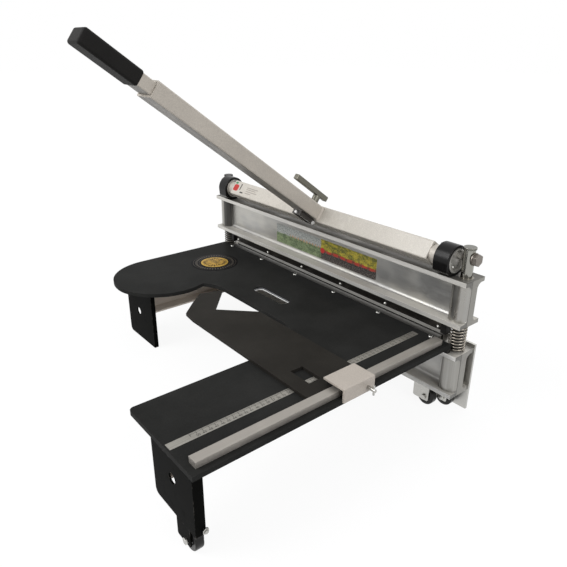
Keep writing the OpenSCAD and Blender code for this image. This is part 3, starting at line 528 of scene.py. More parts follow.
def web_stripes():
    """Plain coloured band on the web: pale over green on the left, warm over dark on the right."""
    f = Finish("web_stripes")
    x, z = f.axis("X"), f.axis("Z")
    grass = f.noise(0.0022, (1, 1, 0.6), detail=4, rough=0.75)
    blot = f.noise(0.009, (0.7, 1, 1.3), detail=4, rough=0.7, shift=(0.5, 0, 0.2))
    height = (z - BAND[1]) / (BAND[3] - BAND[1]) + (blot - 0.5) * 0.16
    pale = f.mix(f.fade(grass, 0.35, 0.65), srgb("6f736d"), srgb("b4b6b4"))
    green = f.mix(f.fade(grass * 0.6 + blot * 0.4, 0.38, 0.62), srgb("3a4a34"), srgb("84926c"))
    lime = f.mix(f.fade(grass * 0.5 + blot * 0.5, 0.4, 0.6), srgb("454f26"), srgb("b9a83a"))
    dark = f.mix(f.fade(grass, 0.45, 0.7), srgb("231e1c"), srgb("7d746e"))
    left = f.mix(f.fade(height, 0.5, 0.58), green, pale)
    dots = (x * DOT_WAVE).sine() > 0.0
    row = between(height, *DOT_ROW) * dots * (x > DOTS_LEFT)
    left = f.mix(row * 0.6, left, srgb("b98a5c"))
    right = f.mix(f.fade(height, 0.46, 0.52), dark, lime)
    patches = (x * WARM_WAVE).sine() > -0.4
    right = f.mix(between(height, *WARM_LINE) * (0.35 + 0.5 * patches), right, srgb("b23a2b"))
    tint = f.mix(f.fade(x + (blot - 0.5) * 0.012, -0.001, 0.002), left, right)
    far = f.add("ShaderNodeVectorMath", {"operation": "DISTANCE"}, {0: f.place(), 1: SPOT}, out="Value")
    tint = f.mix((far < SPOT_R) * 0.9, tint, srgb("b5292a"))
    return f.close(tint, 0.36 + grass * 0.1, 0.0, grass, 0.00002)


def emblem_finish():
    """Round plate: gold relief in the middle, dark ring with a row of dots, thin gold rims."""
    f = Finish("round_plate")
    x = f.axis("X") - EMBLEM[0]
    y = f.axis("Y") - EMBLEM[1]
    far = f.add("ShaderNodeMath", {"operation": "SQRT"}, {0: x * x + y * y})
    angle = f.add("ShaderNodeMath", {"operation": "ARCTAN2"}, {0: y, 1: x})
    rays = (angle * 24.0).sine() * 0.5 + 0.5
    relief = f.noise(0.009, detail=5, rough=0.65)
    dots = (angle * 44.0).sine() > 0.25
    ring_dots = dots * between(far, *DOT_RING) * 0.5
    rim = between(far, *INNER_RIM).larger(between(far, *OUTER_RIM)) * 0.4
    gold = f.mix(f.fade(relief * 0.85 + rays * 0.15, 0.38, 0.58), srgb("2f220a"), srgb("c9a043"))
    gold = f.mix(between(far, *FIELD_RING) * 0.6, gold, srgb("3a2c12"))
    gold = f.mix((far > BORDER_R) * 0.85, gold, srgb("c8a54e"))
    inside = far < RELIEF_R
    tint = f.mix(inside, srgb("07070a"), gold)
    tint = f.mix(ring_dots.larger(rim), tint, srgb("8a8276"))
    metal_share = inside.larger(ring_dots).larger(rim)
    return f.close(tint, 0.46 - metal_share * 0.08, metal_share * 0.3, (rays * 0.4 + relief) * inside,
                   0.0003, **{"Specular IOR Level": 0.03})


def thin_ink(name, colour):
    """Matt printing ink, a little uneven."""
    f = Finish(name)
    spread = f.noise(0.0012, detail=2)
    return f.close(f.mix(f.fade(spread, 0.3, 0.7), shade(colour, 0.85), shade(colour, 1.15)),
                   0.5 + (spread - 0.5) * 0.2)


FINISH = {
    "beam": metal("beam_aluminium", srgb("bab8b2"), 0.34, "x", tone=0.1, metallic=0.85, worn=1.5,
                  films=(cool_film, base_film, column_film, stain_film, flange_film, dust_film,
                         cut_film, end_film)),
    "plate": metal("plate_aluminium", srgb("bcbbb7"), 0.4, "x", tone=0.07),
    "post": metal("post_steel", srgb("989791"), 0.14, "z", tone=0.06, smudge=0.06, films=(spring_film,)),
    "cap": metal("cap_steel", srgb("74736d"), 0.3, "z", films=(left_film,)),
    "ground": metal("ground_steel", srgb("6c6a66"), 0.34, "x"),
    "zinc": metal("zinc_plate", srgb("b4b3af"), 0.26, "y", tone=0.14),
    "bright_zinc": metal("bright_zinc", srgb("efedea"), 0.28, "y", metallic=0.25),
    "dull_zinc": metal("dull_zinc", srgb("827c76"), 0.4, "y", tone=0.14),
    "table": coat("black_coat", srgb("292928"), 0.44, gloss=0.01, rub=0.03, worn="6f6b65", edge_highlight=2.2,
                  films=(slot_film,)),
    "leg": coat("leg_coat", srgb("0b0b0a"), 0.44, gloss=0.01, rub=0.02, worn="4a4743", edge_highlight=2.6),
    "dark": coat("dark_coat", srgb("2c2a27"), 0.46, gloss=0.02, rub=0.03, worn="6f6b65", edge_highlight=2.6),
    # The braces' coat is paler than their grey-brown paint: painted light, as they lie in the table's
    # shade.
    "brace": coat("brace_coat", srgb("cdc3b8"), 0.5, tone=0.1, gloss=0.3),
    "rail": metal("rail_aluminium", srgb("a09b94"), 0.42, "y", tone=0.08, metallic=0.6, worn=1.4),
    "scale": scale_metal(),
    "cream": coat("cream_gloss", srgb("c7c1b7"), 0.26, peel=0.003, tone=0.03, worn="b7b1a8", chips=1.0,
                  rub=0.06),
    "silver": coat("silver_coat", srgb("bbb3a8"), 0.36, peel=0.002, tone=0.05, worn="cfcac2", chips=1.0,
                   rub=0.08, films=(under_film,)),
    "slider": coat("slider_coat", srgb("b1a89e"), 0.38, tone=0.05, worn="d5d0c8", chips=0.95, rub=0.08),
    "bracket": metal("bracket_silver", srgb("d2cac0"), 0.36, "x", tone=0.05, metallic=0.0, worn=1.1,
                     films=(frame_film,)),
    "cast": metal("cast_grey", srgb("b4b2ad"), 0.42, "x", tone=0.14, metallic=0.8, worn=1.5,
                  films=(collar_film,)),
    "bar": metal("clamp_steel", srgb("6c6a61"), 0.42, "y"),
    "cam": moulded("cam_black", srgb("0e0d0d"), 0.3, texture=0.004, depth=0.00001, gloss=0.2),
    "plastic": moulded("black_plastic", srgb("201f1e"), 0.45, gloss=0.15),
    "wheel": moulded("wheel_black", srgb("232220"), 0.32, texture=0.003, depth=0.00002),
    "tyre": moulded("tyre_rubber", srgb("151413"), 0.3, texture=0.002, depth=0.00003),
    "grip": moulded("grip_rubber", srgb("1c1b1a"), 0.55, texture=0.0016, depth=0.00015, gloss=0.08),
    "spring": metal("spring_wire", srgb("8d877e"), 0.2, "z", tone=0.15, films=(shadow_film,)),
    "cap_screw": moulded("cap_screw_black", srgb("1c1b1a"), 0.3, gloss=0.4),
    "bush": metal("bush_steel", srgb("8a867e"), 0.4, "z"),
    "knife": metal("knife_steel", srgb("56534f"), 0.3, "z", tone=0.12),
    "ink": thin_ink("scale_ink", srgb("24221f")),
    "red_ink": thin_ink("red_ink", srgb("b3261f")),
    "green_ink": thin_ink("green_ink", srgb("2f7d4f")),
    "grey_ink": thin_ink("grey_ink", srgb("3a3532")),
    "pale_ink": thin_ink("pale_ink", srgb("8d857d")),
    "web": web_stripes(),
    "emblem": emblem_finish(),
}

# Flat marks on the cross tube: name, finish, left edge, lower edge, width and height in metres.
TUBE_MARKS = [("mark_red", "red_ink", -0.297, -0.009, 0.019, 0.017),
              ("mark_green", "green_ink", -0.296, 0.0095, 0.009, 0.005),
              ("mark_bar_a", "grey_ink", -0.272, -0.004, 0.0035, 0.016),
              ("mark_bar_b", "grey_ink", -0.266, -0.011, 0.012, 0.0035),
              ("mark_line_a", "pale_ink", -0.246, 0.006, 0.043, 0.0016),
              ("mark_line_b", "pale_ink", -0.246, 0.0015, 0.036, 0.0016),
              ("mark_line_c", "pale_ink", -0.246, -0.0035, 0.043, 0.0016),
              ("mark_line_d", "pale_ink", -0.246, -0.0085, 0.022, 0.0016)]

# The nodes that keep their shape: the finish of each and the radius, in millimetres, that its edges
# are eased to. Springs, button screws and set screws are made again below, so they are not listed.
DRESS = {
    "rear_foot_plate": ("plate", 0.5), "base_beam": ("beam", 0.8), "upper_beam": ("beam", 0.8),
    "post_left": ("post", 0.6), "post_right": ("post", 0.6), "post_caps": ("cap", 0.8),
    "anvil_front": ("ground", 0.3), "anvil_rear": ("ground", 0.3), "table_packer": ("plastic", 0.5),
    "table": ("table", 0.9), "leg_left": ("leg", 0.6), "leg_right": ("leg", 0.6),
    "brace_left": ("brace", 0.6), "brace_right": ("brace", 0.6), "scale_strip": ("scale", 0.1),
    "fence_rail": ("rail", 0.6), "rail_screws": ("dull_zinc", 0.3), "caster_forks": ("zinc", 0.5),
    "fork_leg": ("leg", 0.5), "caster_axles": ("zinc", 0.4), "base_wheel_front": ("wheel", 0.4),
    "base_wheel_rear": ("wheel", 0.4), "leg_wheel": ("wheel", 0.4), "tyre_front": ("tyre", 0.3),
    "tyre_rear": ("tyre", 0.3), "tyre_leg": ("tyre", 0.3), "pivot_bolt_left": ("dull_zinc", 0.6),
    "pivot_bolt_right": ("dull_zinc", 0.6), "guide_bushes": ("bush", 0.4),
    "knife_carrier": ("dark", 0.4), "carrier_bolts": ("zinc", 0.4), "end_blocks": ("plastic", 0.8),
    "knife": ("knife", 0.1), "cross_tube": ("cream", 0.6), "tube_plugs": ("post", 0.4),
    "cam_left": ("cam", 1.6), "cam_right": ("cam", 1.6), "cam_hub_left": ("cast", 0.6),
    "cam_hub_right": ("cast", 0.6), "lever_bracket": ("bracket", 0.5),
    "bracket_bolt": ("bright_zinc", 0.4), "lever_tube": ("silver", 0.5), "clamp_nut": ("zinc", 0.4),
    "clamp_screw": ("bar", 0.6), "clamp_bar": ("bar", 1.2), "handle_bar": ("silver", 0.4),
    "grip": ("grip", 0.0), "fence_slider": ("slider", 0.5), "fence_block": ("plastic", 0.8),
    "fence_arm": ("dark", 0.7), "fence_screws": ("dull_zinc", 0.3), "thumb_screw": ("zinc", 0.4),
}


def carried(piece, node):
    """A piece that stands for a CAD node rides on its body, and the node is hidden."""
    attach(piece, BODY_OF[node])
    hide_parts(node)
    return piece


def added(piece, body):
    """A piece of its own that rides on a body."""
    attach(piece, body)
    return piece


def linked(name, data):
    """An object in the scene that shows the data."""
    item = bpy.data.objects.new(name, data)
    bpy.context.scene.collection.objects.link(item)
    return item


def smooth(data, sharp=None):
    """Smooth faces, but for the edges that turn by more than an angle in degrees."""
    for face in data.polygons:
        face.use_smooth = True
    if sharp:
        data.set_sharp_from_angle(angle=math.radians(sharp))


def outward(mesh):
    """The same mesh with all its faces turned outwards."""
    bmesh.ops.recalc_face_normals(mesh, faces=mesh.faces)
    return mesh


def piece_from(name, mesh, finish, sharp=38):
    """An object at the origin from a bmesh, smooth but for its sharp edges."""
    data = bpy.data.meshes.new(name)
    mesh.to_mesh(data)
    mesh.free()
    smooth(data, sharp)
    data.materials.append(FINISH[finish])
    return linked(name, data)


def hidden_form(name, mesh):
    """A form that only serves as an instance, kept out of the scene."""
    data = bpy.data.meshes.new(name)
    mesh.to_mesh(data)
    mesh.free()
    return bpy.data.objects.new(name, data)


def settled(piece):
    """The evaluated mesh of a piece takes the place of its modifiers."""
    evaluated = piece.evaluated_get(bpy.context.evaluated_depsgraph_get())
    mesh = bpy.data.meshes.new_from_object(evaluated)
    piece.modifiers.clear()
    piece.data = mesh
    return piece


def eased(node, finish, radius):
    """A CAD node with its flat faces joined and its sharp edges rounded, marked for wear and for painted
    edge highlights.
    """
    mesh = bmesh.new()
    mesh.from_mesh(frame["nodes"][node].data)
    bmesh.ops.remove_doubles(mesh, verts=mesh.verts, dist=SAME_POINT)
    bmesh.ops.dissolve_limit(mesh, angle_limit=FLAT, verts=mesh.verts, edges=mesh.edges)
    rim = mesh.faces.layers.float.new("edge")
    if radius:
        sharp = [e for e in mesh.edges
                 if len(e.link_faces) == 2 and e.is_convex and e.calc_face_angle(0) > CORNER]
        result = bmesh.ops.bevel(mesh, geom=sharp, offset=radius * MM, offset_type="OFFSET", segments=2,
                                 profile=0.5, affect="EDGES", clamp_overlap=True)
        for face in result["faces"]:
            face[rim] = 1
    piece = piece_from(f"{node}_eased", mesh, finish)
    even = piece.modifiers.new("even", "WEIGHTED_NORMAL")
    even.keep_sharp = True
    settled(piece)
    return carried(piece, node)


def prism(mesh, low, high):
    """Walls between two rings of points with as many corners, and a face over each."""
    for i in range(len(low)):
        j = (i + 1) % len(low)
        mesh.faces.new([low[i], low[j], high[j], high[i]])
    mesh.faces.new(list(reversed(low)))
    mesh.faces.new(high)


def lathe(mesh, profile, segments, matrix=Matrix.Identity(4)):
    """A turned shape from a profile of radii and heights, closed where the profile ends on the axis."""
    rings = []
    for radius, height in profile:
        if radius == 0:
            rings.append([mesh.verts.new(matrix @ Vector((0, 0, height)))])
        else:
            rings.append([mesh.verts.new(matrix @ Vector((
                radius * math.cos(2 * math.pi * i / segments),
                radius * math.sin(2 * math.pi * i / segments), height))) for i in range(segments)])
    for low, high in zip(rings, rings[1:]):
        for i in range(segments):
            j = (i + 1) % segments
            corners = [low[i % len(low)], low[j % len(low)], high[j % len(high)], high[i % len(high)]]
            mesh.faces.new(list(dict.fromkeys(corners)))
    return rings


def screw_form(head_r, head_h, shank_r, shank_l):
    """Button head screw with a hexagon socket, its seat at zero and its head up."""
    mesh = bmesh.new()
    socket_r = head_r * 0.42
    dome = [(shank_r, -shank_l), (shank_r, 0), (head_r * 0.96, 0), (head_r, head_h * 0.12)]
    dome += [(head_r * math.cos(a), head_h * (0.12 + 0.88 * math.sin(a)))
             for a in (math.radians(d) for d in (18, 34, 48, 58))]
    top = lathe(mesh, [(0, -shank_l)] + dome, 24)[-1]
    rim = [mesh.verts.new((socket_r * math.cos(math.radians(a)), socket_r * math.sin(math.radians(a)),
                           head_h)) for a in range(0, 360, 60)]
    floor = [mesh.verts.new((v.co.x, v.co.y, head_h * 0.35)) for v in rim]
    for k in range(6):
        n = (k + 1) % 6
        fan = [top[(4 * k + i) % 24] for i in range(5)]
        mesh.faces.new([*fan, rim[n], rim[k]])
        mesh.faces.new([rim[k], rim[n], floor[n], floor[k]])
    mesh.faces.new(floor)
    return outward(mesh)


def open_tree(name, **inputs):
    """A Geometry Nodes tree with named inputs: its sheet and the inputs, each ready for sums.
    An input is given as its kind of socket and the value it starts with, if any."""
    tree = bpy.data.node_groups.new(name, "GeometryNodeTree")
    for label, (kind, value) in inputs.items():
        socket = tree.interface.new_socket(label, in_out="INPUT", socket_type=f"NodeSocket{kind}")
        if value is not None:
            socket.default_value = value
    tree.interface.new_socket("Geometry", in_out="OUTPUT", socket_type="NodeSocketGeometry")
    sheet = Sheet(tree)
    entry = sheet.add("NodeGroupInput").socket.node.outputs
    return sheet, {socket.name: Field(sheet, socket) for socket in entry if socket.name}


def closed_tree(sheet, geometry, finish):
    """The tree ends in real geometry with its finish set."""
    real = sheet.add("GeometryNodeRealizeInstances", None, {0: geometry})
    painted = sheet.add("GeometryNodeSetMaterial", None, {"Geometry": real, "Material": finish})
    sheet.add("NodeGroupOutput", None, {"Geometry": painted})
    return sheet.tree


def grown(name, mesh, tree, finish, **inputs):
    """A piece that a tree makes from the points of a mesh, as a plain mesh."""
    piece = piece_from(name, mesh, finish)
    modifier = piece.modifiers.new("grown", "NODES")
    modifier.node_group = tree
    given = {"Finish": FINISH[finish], **inputs}
    for item in tree.interface.items_tree:
        if item.in_out == "INPUT" and item.name in given:
            modifier[item.identifier] = given[item.name]
    return settled(piece)


def fastener_tree():
    """Geometry Nodes: one screw on every point, turned to the point's facing direction."""
    sheet, given = open_tree("fastener_row", Geometry=("Geometry", None), Screw=("Object", None),
                             Finish=("Material", None))
    facing = sheet.add("GeometryNodeInputNamedAttribute", {"data_type": "FLOAT_VECTOR"}, {"Name": "facing"})
    turn = sheet.add("FunctionNodeAlignRotationToVector", {"axis": "Z"}, {"Vector": facing})
    spin = sheet.add("FunctionNodeRandomValue", {"data_type": "FLOAT"}, {2: 0.0, 3: 6.28, "Seed": 7}, out=1)
    spun = sheet.add("FunctionNodeRotateRotation", {"rotation_space": "LOCAL"}, {
        0: turn, 1: sheet.add("FunctionNodeAxisAngleToRotation", None, {"Angle": spin})})
    form = sheet.add("GeometryNodeObjectInfo", {"transform_space": "ORIGINAL"},
                     {"Object": given["Screw"]}, out="Geometry")
    rows = sheet.add("GeometryNodeInstanceOnPoints", None, {
        "Points": given["Geometry"], "Instance": form, "Rotation": spun})
    return closed_tree(sheet, rows, given["Finish"])


def fastener_row(name, tree, form, places, finish):
    """One piece with a screw at each place, given as a point and the way its head faces."""
    mesh = bmesh.new()
    facing = mesh.verts.layers.float_vector.new("facing")
    for at, way in places:
        mesh.verts.new(at)[facing] = way
    row = grown(name, mesh, tree, finish, Screw=form)
    smooth(row.data, 40)
    return row


def fasteners(tree):
    """The three rows of button screws, each in place of the model's plain ones."""
    form = hidden_form("button_screw", screw_form(4.5 * MM, 2.8 * MM, 2.5 * MM, 14 * MM))
    small = hidden_form("small_screw", screw_form(3.8 * MM, 2.8 * MM, 2.5 * MM, 9 * MM))
    table = [((x, TABLE_SCREWS_Y, TABLE_TOP), (0, 0, 1)) for x in SCREWS_X]
    carried(fastener_row("table_screw_row", tree, form, table, "zinc"), "table_screws")
    knife = [((x, KNIFE_SCREWS_Y, KNIFE_SCREWS_Z), (0, -1, 0)) for x in SCREWS_X]
    carried(fastener_row("knife_screw_row", tree, small, knife, "zinc"), "knife_screws")
    foot = [((x, FOOT_SCREWS_Y, z), (0, 1, 0)) for x in FOOT_SCREWS_X for z in FOOT_SCREWS_Z]
    carried(fastener_row("foot_screw_row", tree, form, foot, "zinc"), "foot_plate_screws")


def spring_tree():
    """Geometry Nodes: a spring of round wire with closer turns at both ends."""
    numbers = {"Turns": 9.0, "Mean radius": 0.014, "Wire": 0.003, "End pitch": 0.0036,
               "Middle pitch": 0.00596, "Across": 0.0, "Deep": 0.0, "Low": 0.0}
    sheet, given = open_tree("lifting_spring", Finish=("Material", None),
                             **{label: ("Float", value) for label, value in numbers.items()})
    line = sheet.add("GeometryNodeCurvePrimitiveLine", {"mode": "POINTS"}, {
        "Start": (0, 0, 0), "End": (0, 0, 1)})
    path = sheet.add("GeometryNodeResampleCurve", {"mode": "COUNT"}, {"Curve": line, "Count": 361})
    share = sheet.add("GeometryNodeSplineParameter", out="Factor")
    turns = share * given["Turns"]
    angle = turns * (2 * math.pi)
    first = turns.smaller(1.0)
    last = (turns - given["Turns"] + 1.0).larger(0.0)
    height = ((first + last) * given["End pitch"] + (turns - first - last) * given["Middle pitch"]
              + given["Wire"] * 0.5 + given["Low"])
    x = angle.cosine() * given["Mean radius"] + given["Across"]
    y = angle.sine() * given["Mean radius"] + given["Deep"]
    wound = sheet.add("GeometryNodeSetPosition", None, {
        "Geometry": path, "Position": sheet.add("ShaderNodeCombineXYZ", None, {0: x, 1: y, 2: height})})
    section = sheet.add("GeometryNodeCurvePrimitiveCircle", None, {
        "Resolution": 12, "Radius": given["Wire"] * 0.5})
    wire = sheet.add("GeometryNodeCurveToMesh", None, {
        "Curve": wound, "Profile Curve": section, "Fill Caps": True})
    return closed_tree(sheet, wire, given["Finish"])


def springs():
    """Both lifting springs, each held between the base beam and the press beam."""
    tree = spring_tree()
    for side, name in ((-1, "spring_left"), (1, "spring_right")):
        spring = grown(f"{name}_wire", bmesh.new(), tree, "spring",
                       Across=side * POST_X, Deep=KNIFE_Y, Low=SPRING_LOW)
        smooth(spring.data)
        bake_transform(spring)
        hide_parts(name)


def mark_tree():
    """Geometry Nodes: marks of a scale, one line in five longer and wider."""
    numbers = {"Pitch": 0.002, "Mark width": 0.0005, "Mark length": 0.003, "Mark height": 0.00012}
    sheet, given = open_tree("scale_marks", Count=("Int", 241), Start=("Vector", None),
                             Finish=("Material", None),
                             **{label: ("Float", value) for label, value in numbers.items()})
    step = sheet.add("ShaderNodeCombineXYZ", None, {1: given["Pitch"] * -1.0})
    line = sheet.add("GeometryNodeMeshLine", {"mode": "OFFSET"}, {
        "Count": given["Count"], "Start Location": given["Start"], "Offset": step})
    index = sheet.add("GeometryNodeInputIndex")
    fifth = (index % 5.0) < 0.5
    size = sheet.add("ShaderNodeCombineXYZ", None, {0: 1.0 + fifth * 0.9, 1: 1.0 + fifth * 0.8, 2: 1.0})
    block = sheet.add("GeometryNodeMeshCube", None, {
        "Size": sheet.add("ShaderNodeCombineXYZ", None, {
            0: given["Mark length"], 1: given["Mark width"], 2: given["Mark height"]})})
    shifted = sheet.add("GeometryNodeTransform", None, {
        "Geometry": block, "Translation": sheet.add("ShaderNodeCombineXYZ", None, {
            0: given["Mark length"] * 0.5})})
    marks = sheet.add("GeometryNodeInstanceOnPoints", None, {
        "Points": line, "Instance": shifted, "Scale": size})
    return closed_tree(sheet, marks, given["Finish"])


def figure(number, turn):
    """One plain raised figure of the scale, made a mesh and then put in its place."""
    curve = bpy.data.curves.new(f"figure_{number}", "FONT")
    curve.body = str(number)
    curve.size = FIGURE_SIZE
    curve.extrude = FIGURE_RISE
    curve.align_x = "CENTER"
    curve.align_y = "CENTER"
    holder = linked(f"figure_{number}", curve)
    bpy.context.view_layer.update()
    data = bpy.data.meshes.new_from_object(holder.evaluated_get(bpy.context.evaluated_depsgraph_get()))
    bpy.data.objects.remove(holder)
    at = Vector((FIGURE_X, KNIFE_Y - FIGURE_PITCH * number, TABLE_TOP))
    data.transform(Matrix.Translation(at) @ turn)
    return data


def scale_marks():
    """The marks of the scale, and its figures in centimetres from the knife."""
    marks = grown("scale_marks", bmesh.new(), mark_tree(), "ink", Start=MARKS_START)
    added(marks, "frame")
    turn = Matrix.Rotation(math.radians(90), 4, "Z")
    mesh = bmesh.new()
    for number in FIGURES:
        mesh.from_mesh(figure(number, turn))
    added(piece_from("scale_figures", outward(mesh), "ink"), "frame")


def rounded_sheet(name, corners, radius, thick, matrix, finish):
    """A thin plate with round corners; corners are its lowest and highest point in its plane."""
    (x0, y0), (x1, y1) = corners
    mesh = bmesh.new()
    ring = []
    for cx, cy, start in ((x1 - radius, y1 - radius, 0), (x0 + radius, y1 - radius, 90),
                          (x0 + radius, y0 + radius, 180), (x1 - radius, y0 + radius, 270)):
        for step in range(0, 91, 15):
            a = math.radians(start + step)
            ring.append(Vector((cx + radius * math.cos(a), cy + radius * math.sin(a), 0)))
    low, high = ([mesh.verts.new(matrix @ (point + Vector((0, 0, z)))) for point in ring]
                 for z in (0, thick))
    prism(mesh, low, high)
    return piece_from(name, mesh, finish)


def plain_plates():
    """The coloured band on the web and the round plate on the table."""
    stand = Matrix.Translation((0, WEB_FRONT, 0)) @ Matrix.Rotation(math.radians(90), 4, "X")
    band = rounded_sheet("web_band", (BAND[:2], BAND[2:]), 0.002, 0.00015, stand, "web")
    added(band, "press_beam")
    mesh = bmesh.new()
    lathe(mesh, [(0, 0), (EMBLEM_R, 0), (EMBLEM_R, 0.0002), (EMBLEM_R - 0.0013, 0.00035),
                 (RELIEF_R + 0.0005, 0.00035), (RELIEF_R - 0.0005, 0.0005), (0, 0.0005)], 96,
          Matrix.Translation((*EMBLEM, TABLE_TOP)))
    added(piece_from("round_plate", outward(mesh), "emblem"), "frame")


def tube_mark():
    """Plain mark at the left end of the cross tube: a red patch, two bars and thin lines."""
    stand = Matrix((Vector((1, 0, 0)), TUBE_UP, TUBE_OUT)).transposed().to_4x4()
    stand.translation = TUBE_CENTRE + TUBE_OUT * TUBE_HALF
    for name, finish, x, low, width, height in TUBE_MARKS:
        patch = rounded_sheet(name, ((x, low), (x + width, low + height)), min(width, height) * 0.3,
                              0.00012, stand, finish)
        added(patch, "lever")


def hub_screws(tree):
    """Two small screws in the dish of each cam hub, away from the pivot."""
    form = hidden_form("hub_screw_form", screw_form(3.2 * MM, 2.2 * MM, 2 * MM, 3 * MM))
    places = [((side * HUB_FLOOR, TUBE_AXIS[0] + y, TUBE_AXIS[1] + z), (side, 0, 0))
              for side in (-1, 1) for y, z in HUB_SCREWS]
    added(fastener_row("hub_screws", tree, form, places, "zinc"), "lever")


def collar_screws(tree):
    """Socket set screws that stand proud of the collars beside the cams."""
    mesh = bmesh.new()
    lathe(mesh, [(0, -0.006), (0.0026, -0.006), (0.0026, 0), (0.0050, 0), (0.0050, 0.0052),
                 (0.0044, 0.0060), (0.0027, 0.0060), (0.0025, 0.0020), (0, 0.0020)], 24)
    form = hidden_form("collar_screw_form", outward(mesh))
    places = [(TUBE_CENTRE + Vector((side * COLLAR_X, 0, 0)) + TUBE_UP * COLLAR_SEAT, TUBE_UP)
              for side in (-1, 1)]
    carried(fastener_row("collar_screw_row", tree, form, places, "cap_screw"), "collar_screws")


def bracket_screws(tree):
    """Hex screws with washers at the lower corner of the lever's bracket, one on each side."""
    mesh = bmesh.new()
    lathe(mesh, [(0, -0.002), (0.0024, -0.002), (0.0024, 0), (0.0042, 0), (0.0042, 0.0008),
                 (0.0020, 0.0008)], 24)
    lathe(mesh, [(0, 0.0007), (0.0036, 0.0007), (0.0036, 0.0028), (0.0031, 0.0033), (0, 0.0033)], 6)
    form = hidden_form("bracket_screw_form", outward(mesh))
    corner = TUBE_CENTRE + TUBE_OUT * BRACKET_CORNER[0] - TUBE_UP * BRACKET_CORNER[1]
    places = [(corner + Vector((side * BRACKET_HALF, 0, 0)), (side, 0, 0)) for side in (-1, 1)]
    added(fastener_row("bracket_side_screws", tree, form, places, "bright_zinc"), "lever")


def flare(mesh, side, front, level, way, radius):
    """One hollow arc between a column and a flange at a level, which it leaves up or down."""
    arc = [(radius - radius * math.sin(a), radius - radius * math.cos(a))
           for a in (math.radians(15 * i) for i in range(7))]
    outline = [(0, -FLARE_SINK), (radius, -FLARE_SINK)] + arc
    low, high = ([mesh.verts.new((side * x, KNIFE_Y + front * (COLUMN_EDGE + u), level + way * v))
                  for u, v in outline] for x in FLARE_ENDS)
    prism(mesh, low, high)


def end_flares():
    """The flares that lead the end columns of both beams into their flanges."""
    for node, low in (("base_beam", BASE_TOP - BEAM_HEIGHT), ("upper_beam", UPPER_LOW)):
        mesh = bmesh.new()
        for side in (-1, 1):
            for front in (-1, 1):
                flare(mesh, side, front, low + FLANGE, 1, FLARE_LOW_R)
                flare(mesh, side, front, low + BEAM_HEIGHT - FLANGE, -1, FLARE_HIGH_R)
        added(piece_from(f"{node}_flares", outward(mesh), "beam"), BODY_OF[node])


def leg_nut():
    """Lock nut on the bolt that holds the leg's caster fork."""
    mesh = bmesh.new()
    lathe(mesh, [(0, 0), (0.0048, 0), (0.0052, 0.0005), (0.0052, 0.0032), (0.0045, 0.0038),
                 (0.0032, 0.0038), (0.0032, 0.0052), (0.0026, 0.0056), (0, 0.0056)], 6,
          Matrix.Translation(LEG_BOLT) @ Matrix.Rotation(math.radians(90), 4, "Y"))
    added(piece_from("leg_nut", outward(mesh), "zinc", sharp=20), "frame")


def direct_rays(sheet):
    """One for the rays that show the background itself: camera, mirror and glass rays."""
    rays = sheet.add("ShaderNodeLightPath").socket.node.outputs
    camera, mirror, glass = (Field(sheet, rays[f"Is {kind} Ray"])
                             for kind in ("Camera", "Glossy", "Transmission"))
    return camera.larger(mirror).larger(glass)


def studio_world():
    """Soft light from all round, white where a ray looks straight at it."""
    world = bpy.data.worlds.new("studio")
    bpy.context.scene.world = world
    world.use_nodes = True
    world.node_tree.nodes.clear()
    sheet = Sheet(world.node_tree)
    soft = sheet.add("ShaderNodeBackground", None, {"Color": (0.95, 0.97, 1.0, 1), "Strength": 0.45})
    white = sheet.add("ShaderNodeBackground", None, {"Color": (1, 1, 1, 1), "Strength": 1.0})
    mixed = sheet.add("ShaderNodeMixShader", None, {0: direct_rays(sheet), 1: soft, 2: white})
    sheet.add("ShaderNodeOutputWorld", None, {"Surface": mixed})


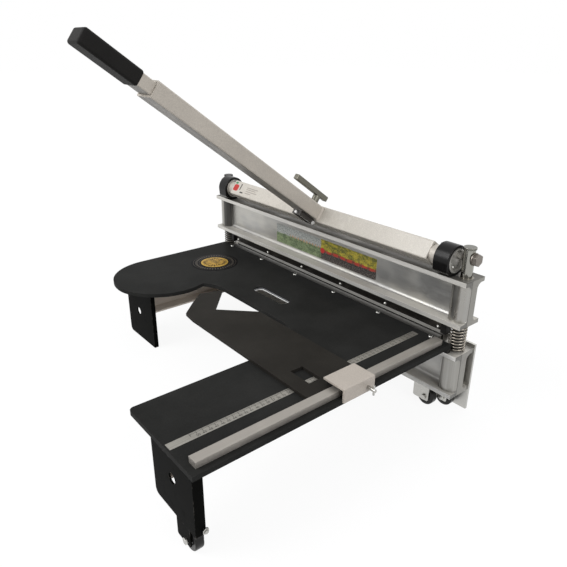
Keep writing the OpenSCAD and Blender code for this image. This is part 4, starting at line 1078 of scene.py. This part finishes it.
def studio_floor():
    """Pale floor that keeps the object's shadow near it and glows white farther out."""
    data = bpy.data.meshes.new("floor")
    corners = [(x * FLOOR_HALF, y * FLOOR_HALF, 0) for x, y in ((-1, -1), (1, -1), (1, 1), (-1, 1))]
    data.from_pydata(corners, [], [(0, 1, 2, 3)])
    f = Finish("floor_white")
    dull = f.add("ShaderNodeBsdfDiffuse", None, {"Color": (0.66, 0.66, 0.66, 1)})
    pale = f.add("ShaderNodeBsdfDiffuse", None, {"Color": (0.95, 0.95, 0.95, 1)})
    glow = f.add("ShaderNodeEmission", None, {"Color": (1, 1, 1, 1), "Strength": 1.02})
    far = f.add("ShaderNodeVectorMath", {"operation": "LENGTH"}, {0: f.place()}, out="Value")
    shown = f.add("ShaderNodeMixShader", None, {0: f.fade(far, 0.7, 1.8, 0.9, 1.0), 1: pale, 2: glow})
    mixed = f.add("ShaderNodeMixShader", None, {0: direct_rays(f), 1: dull, 2: shown})
    f.add("ShaderNodeOutputMaterial", None, {"Surface": mixed})
    data.materials.append(f.material)
    linked("floor", data)


def studio_lamps():
    """Three soft lamps: in front, at the right and behind."""
    for name, at, aim, size, power in LAMPS:
        lamp = bpy.data.lights.new(name, "AREA")
        lamp.size = size
        lamp.energy = power
        holder = linked(name, lamp)
        holder.location = at
        holder.rotation_euler = (Vector(aim) - Vector(at)).to_track_quat("-Z", "Y").to_euler()


def photo_camera():
    """The photograph's view: its place, turn round the vertical, dip below level and roll."""
    data = bpy.data.cameras.new("photo_camera")
    data.sensor_width = 36
    data.lens = LENS
    data.clip_end = 30
    camera = linked("photo_camera", data)
    camera.matrix_world = (Matrix.Translation(CAMERA_AT)
                           @ Matrix.Rotation(math.radians(CAMERA_TURN), 4, "Z")
                           @ Matrix.Rotation(math.radians(90 - CAMERA_DIP), 4, "X")
                           @ Matrix.Rotation(CAMERA_ROLL, 4, "Z"))
    bpy.context.scene.camera = camera
    bpy.context.scene.view_settings.view_transform = "Standard"


photo_camera()
studio_world()
studio_floor()
studio_lamps()
for node, (finish, radius) in DRESS.items():
    eased(node, finish, radius)
screw_tree = fastener_tree()
fasteners(screw_tree)
springs()
scale_marks()
plain_plates()
tube_mark()
hub_screws(screw_tree)
collar_screws(screw_tree)
bracket_screws(screw_tree)
end_flares()
leg_nut()
